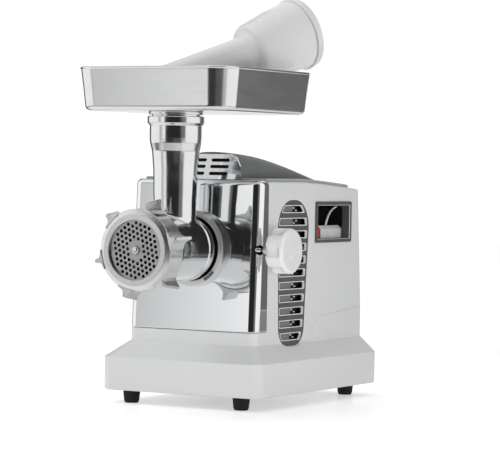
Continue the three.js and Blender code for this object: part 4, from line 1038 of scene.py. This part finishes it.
knob()
tip = sizes("lock_screw")[0]
screw = rounded([(0, tip), (2.6, tip, 0.3), (4, tip + 3, 0.5), (4, 75), (1.7, 79.6, 0.4), (5.3, 88.6, 0.8),
                 (5.3, 92), (0, 92)], closed=False)
stud = mesh_of("lock_stud", [turned(screw, round_x(KNOB_Y, AXIS), 64)])
finish(stud, "lock", ["lock_screw"], [polished])


# ---------------------------------------------------------------- feet and cord gland

CORNERS = ("front_left", "front_right", "rear_left", "rear_right")
for corner in CORNERS:
    x0, x1, y0, y1, _, z1 = sizes("foot_" + corner)
    radius = (x1 - x0) / 2
    outline = rounded([(0, 0), (radius - 2.2, 0, 0.8), (radius - 1, 2.4, 1), (radius, z1 - 3.5, 1),
                       (radius, z1, 0.5), (radius - 3, z1), (0, z1)], closed=False)
    foot_mesh = mesh_of("pad_" + corner, [turned(outline, round_z((x0 + x1) / 2, (y0 + y1) / 2), 48)])
    finish(foot_mesh, "machine", ["foot_" + corner], [rubber])

x0, x1, y0, y1, z0, z1 = sizes("cord_gland")
sleeve = rounded([(3.8, y0), (7.1, y0, 0.3), (7.1, y0 + 8.4), (10, y0 + 8.8, 0.5), (10, y0 + 11.6, 0.8),
                  (6.4, y1 - 0.4, 1), (4.6, y1, 0.3), (3.8, y1)], step=15)
gland = mesh_of("gland_sleeve", [turned(sleeve, round_y((x0 + x1) / 2, (z0 + z1) / 2), 64)])
finish(gland, "machine", ["cord_gland"], [rubber])


# ---------------------------------------------------------------- pieces inside, kept as they are

INSIDE = {
    nylon: ("auger_bush", "output_gear", "cooling_fan"),
    cast: ("auger", "gearbox_plate", "gearbox_case", "motor_front_bracket", "motor_rear_bracket"),
    steel: ("cutting_blade", "output_coupling", "second_gear", "first_gear", "motor_shaft",
            "motor_bearing_front", "motor_bearing_rear", "gearbox_screw_low", "gearbox_screw_high",
            *("base_screw_" + corner for corner in CORNERS)),
    iron: ("rotor_core", "stator_core"),
    copper: ("field_coil_left", "field_coil_right", "commutator"),
    brass: ("brush_holder_left", "brush_holder_right", "output_bearing"),
    carbon: ("carbon_brush_left", "carbon_brush_right"),
    dark: ("switch_block",),
    light_grey: ("base_plate",),
}
for mat, names in INSIDE.items():
    for name in names:
        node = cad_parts[name]
        node.data.materials.clear()
        node.data.materials.append(mat)


# ---------------------------------------------------------------- floor, light and camera

def stage_mesh(name, points, faces, mat, levels=None):
    """Part of the set. Given a level per point, it is a glowing card that only reflections see."""
    mesh = bpy.data.meshes.new(name)
    mesh.from_pydata(points, [], faces)
    mesh.materials.append(mat)
    obj = placed(name, mesh)
    if levels:
        layer = mesh.color_attributes.new("level", "FLOAT_COLOR", "POINT")
        for item, level in zip(layer.data, levels):
            item.color = (level, level, level, 1)
        obj.visible_camera = False
        obj.visible_shadow = False
        obj.visible_diffuse = False
        obj.visible_transmission = False
    return obj


def glow():
    """Emission as bright as the mesh's level."""
    mat, nodes, links, shader = fresh_material("studio_glow")
    nodes.remove(shader)
    level = nodes.new("ShaderNodeAttribute")
    level.attribute_name = "level"
    light = nodes.new("ShaderNodeEmission")
    links.new(level.outputs["Color"], light.inputs["Color"])
    links.new(light.outputs["Emission"], nodes["Material Output"].inputs["Surface"])
    return mat


# The studio as the chrome sees it: (azimuth, level), with 0 in front of the machine and 90 on its right.
WALLS = [(-180, 0.95), (-143, 0.95), (-138, 0.06), (-110, 0.06), (-102, 1.0), (-46, 1.0), (-40, 0.45),
         (-33, 0.62), (-25, 1.0), (-18, 1.0), (-13, 0.06), (0, 0.02), (45, 0.02), (52, 0.16), (66, 0.2),
         (72, 1.0), (136, 1.0), (142, 0.14), (177, 0.14), (180, 0.95)]
FLOOR = [(-180, 0.9), (-140, 0.9), (-136, 0.08), (-108, 0.08), (-100, 0.8), (-37, 0.72), (-27, 0.5),
         (-25.5, 0.03), (17, 0.05), (22, 0.17), (50, 0.2), (56, 0.95), (128, 0.95), (138, 0.24), (165, 0.22),
         (172, 0.9), (180, 0.9)]


WHITE = 0.95


def studio_level(table, azimuth):
    """The table's level at an azimuth, between its nearest two rows."""
    for (a0, level0), (a1, level1) in zip(table, table[1:]):
        if a0 <= azimuth <= a1:
            return level0 + (level1 - level0) * (azimuth - a0) / (a1 - a0)
    return table[0][1]


def studio_band(name, table, rows, mat):
    """Ring of cards. A row is (radius, height, lift of the level to white, or to black below 0)."""
    points, levels, faces = [], [], []
    steps = 360
    for radius, height, lift in rows:
        for i in range(steps):
            azimuth = i - steps // 2
            angle = math.radians(azimuth)
            points.append((math.sin(angle) * radius, -math.cos(angle) * radius, height))
            level = studio_level(table, azimuth)
            levels.append(level + (WHITE - level) * lift if lift >= 0 else level * (1 + lift))
    for r in range(len(rows) - 1):
        for i in range(steps):
            j = (i + 1) % steps
            faces.append((r * steps + i, r * steps + j, (r + 1) * steps + j, (r + 1) * steps + i))
    return stage_mesh(name, points, faces, mat, levels)


glow_mat = glow()
studio_band("studio_wall", WALLS, [(1.7, 0.004, 0), (1.7, 1.5, 0), (1.7, 2.4, 0.3)], glow_mat)
studio_band("studio_floor", FLOOR, [(radius, 0.003, lift) for radius, lift in (
    (0.6, 0.6), (0.8, 0.6), (0.83, -0.85), (1.03, -0.85), (1.08, 0), (1.7, 0))], glow_mat)


def floor_material():
    """White floor with a weak reflection. It glows more for the camera than for the light on the machine."""
    mat, nodes, links, shader = fresh_material("floor")
    preset(shader, {"Base Color": (0.88, 0.88, 0.885, 1), "Roughness": 0.9, "Specular IOR Level": 0,
                    "Emission Color": (1, 1, 1, 1)})
    seen = nodes.new("ShaderNodeLightPath")
    strength = nodes.new("ShaderNodeMapRange")
    preset(strength, {"To Min": 0.25, "To Max": 0.5})
    links.new(seen.outputs["Is Camera Ray"], strength.inputs["Value"])
    links.new(strength.outputs["Result"], shader.inputs["Emission Strength"])
    mirror = nodes.new("ShaderNodeBsdfGlossy")
    mirror.inputs["Roughness"].default_value = 0.12
    mix = nodes.new("ShaderNodeMixShader")
    mix.inputs["Fac"].default_value = 0.16
    links.new(shader.outputs["BSDF"], mix.inputs[1])
    links.new(mirror.outputs["BSDF"], mix.inputs[2])
    links.new(mix.outputs["Shader"], nodes["Material Output"].inputs["Surface"])
    return mat


stage_mesh("floor", [(-6, -6, 0), (6, -6, 0), (6, 6, 0), (-6, 6, 0)], [(0, 1, 2, 3)], floor_material())


def studio_world():
    """White room, brighter from the upper left than from the right."""
    world = bpy.data.worlds.new("studio")
    world.use_nodes = True
    nodes, links = world.node_tree.nodes, world.node_tree.links
    nodes["Background"].inputs["Color"].default_value = (1, 1, 1, 1)
    where = nodes.new("ShaderNodeTexCoord")
    toward = nodes.new("ShaderNodeVectorMath")
    toward.operation = "DOT_PRODUCT"
    toward.inputs[1].default_value = Vector((-0.72, 0.1, 0.68)).normalized()
    links.new(where.outputs["Generated"], toward.inputs[0])
    level = nodes.new("ShaderNodeMapRange")
    preset(level, {"From Min": -1, "From Max": 1, "To Min": 0.08, "To Max": 0.92})
    links.new(toward.outputs["Value"], level.inputs["Value"])
    seen = nodes.new("ShaderNodeLightPath")
    mix = nodes.new("ShaderNodeMix")
    mix.inputs["B"].default_value = 1.05
    links.new(seen.outputs["Is Camera Ray"], mix.inputs["Factor"])
    links.new(level.outputs["Result"], mix.inputs["A"])
    links.new(mix.outputs["Result"], nodes["Background"].inputs["Strength"])
    bpy.context.scene.world = world


studio_world()


def soft_light(name, place, target, width, power, spread):
    """Square light that neither the camera nor reflections see."""
    data = bpy.data.lights.new(name, "AREA")
    data.spread = math.radians(spread)
    data.shape = "RECTANGLE"
    data.size = width
    data.size_y = width
    data.energy = power
    light = placed(name, data)
    light.location = place
    light.rotation_euler = (Vector(target) - Vector(place)).to_track_quat("-Z", "Y").to_euler()
    light.visible_camera = False
    light.visible_glossy = False


soft_light("key", (-1.3, -0.6, 1.7), (0, 0, 0.2), 0.8, 7, 180)
soft_light("side", (0.75, -0.6, 0.16), (0.09, 0.04, 0.17), 0.2, 0.2, 50)

# Camera: azimuth and elevation of the line of sight, roll, distance and lens.
AZIMUTH, ELEVATION, ROLL = 29.501, 1.291, 0.969
DISTANCE = 2662
ASIDE, ABOVE = 60.07, 24.82  # the lens axis passes this far from the head's axis at the panel
LENS = 177.68

azimuth, elevation, roll = (math.radians(angle) for angle in (AZIMUTH, ELEVATION, ROLL))
back = Vector((math.sin(azimuth) * math.cos(elevation), -math.cos(azimuth) * math.cos(elevation),
               math.sin(elevation)))
right = Vector((math.cos(azimuth), math.sin(azimuth), 0))
up = back.cross(right)
camera_data = bpy.data.cameras.new("camera")
camera_data.lens = LENS
camera_data.sensor_width = 36
camera_data.clip_end = 100
camera = placed("camera", camera_data)
turned_right = right * math.cos(roll) + up * math.sin(roll)
turned_up = up * math.cos(roll) - right * math.sin(roll)
place = at(0, 0, AXIS) + (back * DISTANCE + right * ASIDE + up * ABOVE) * MM
camera.matrix_world = Matrix((
    (turned_right.x, turned_up.x, back.x, place.x),
    (turned_right.y, turned_up.y, back.y, place.y),
    (turned_right.z, turned_up.z, back.z, place.z),
    (0, 0, 0, 1),
))
bpy.context.scene.camera = camera
bpy.context.scene.view_settings.view_transform = "Standard"
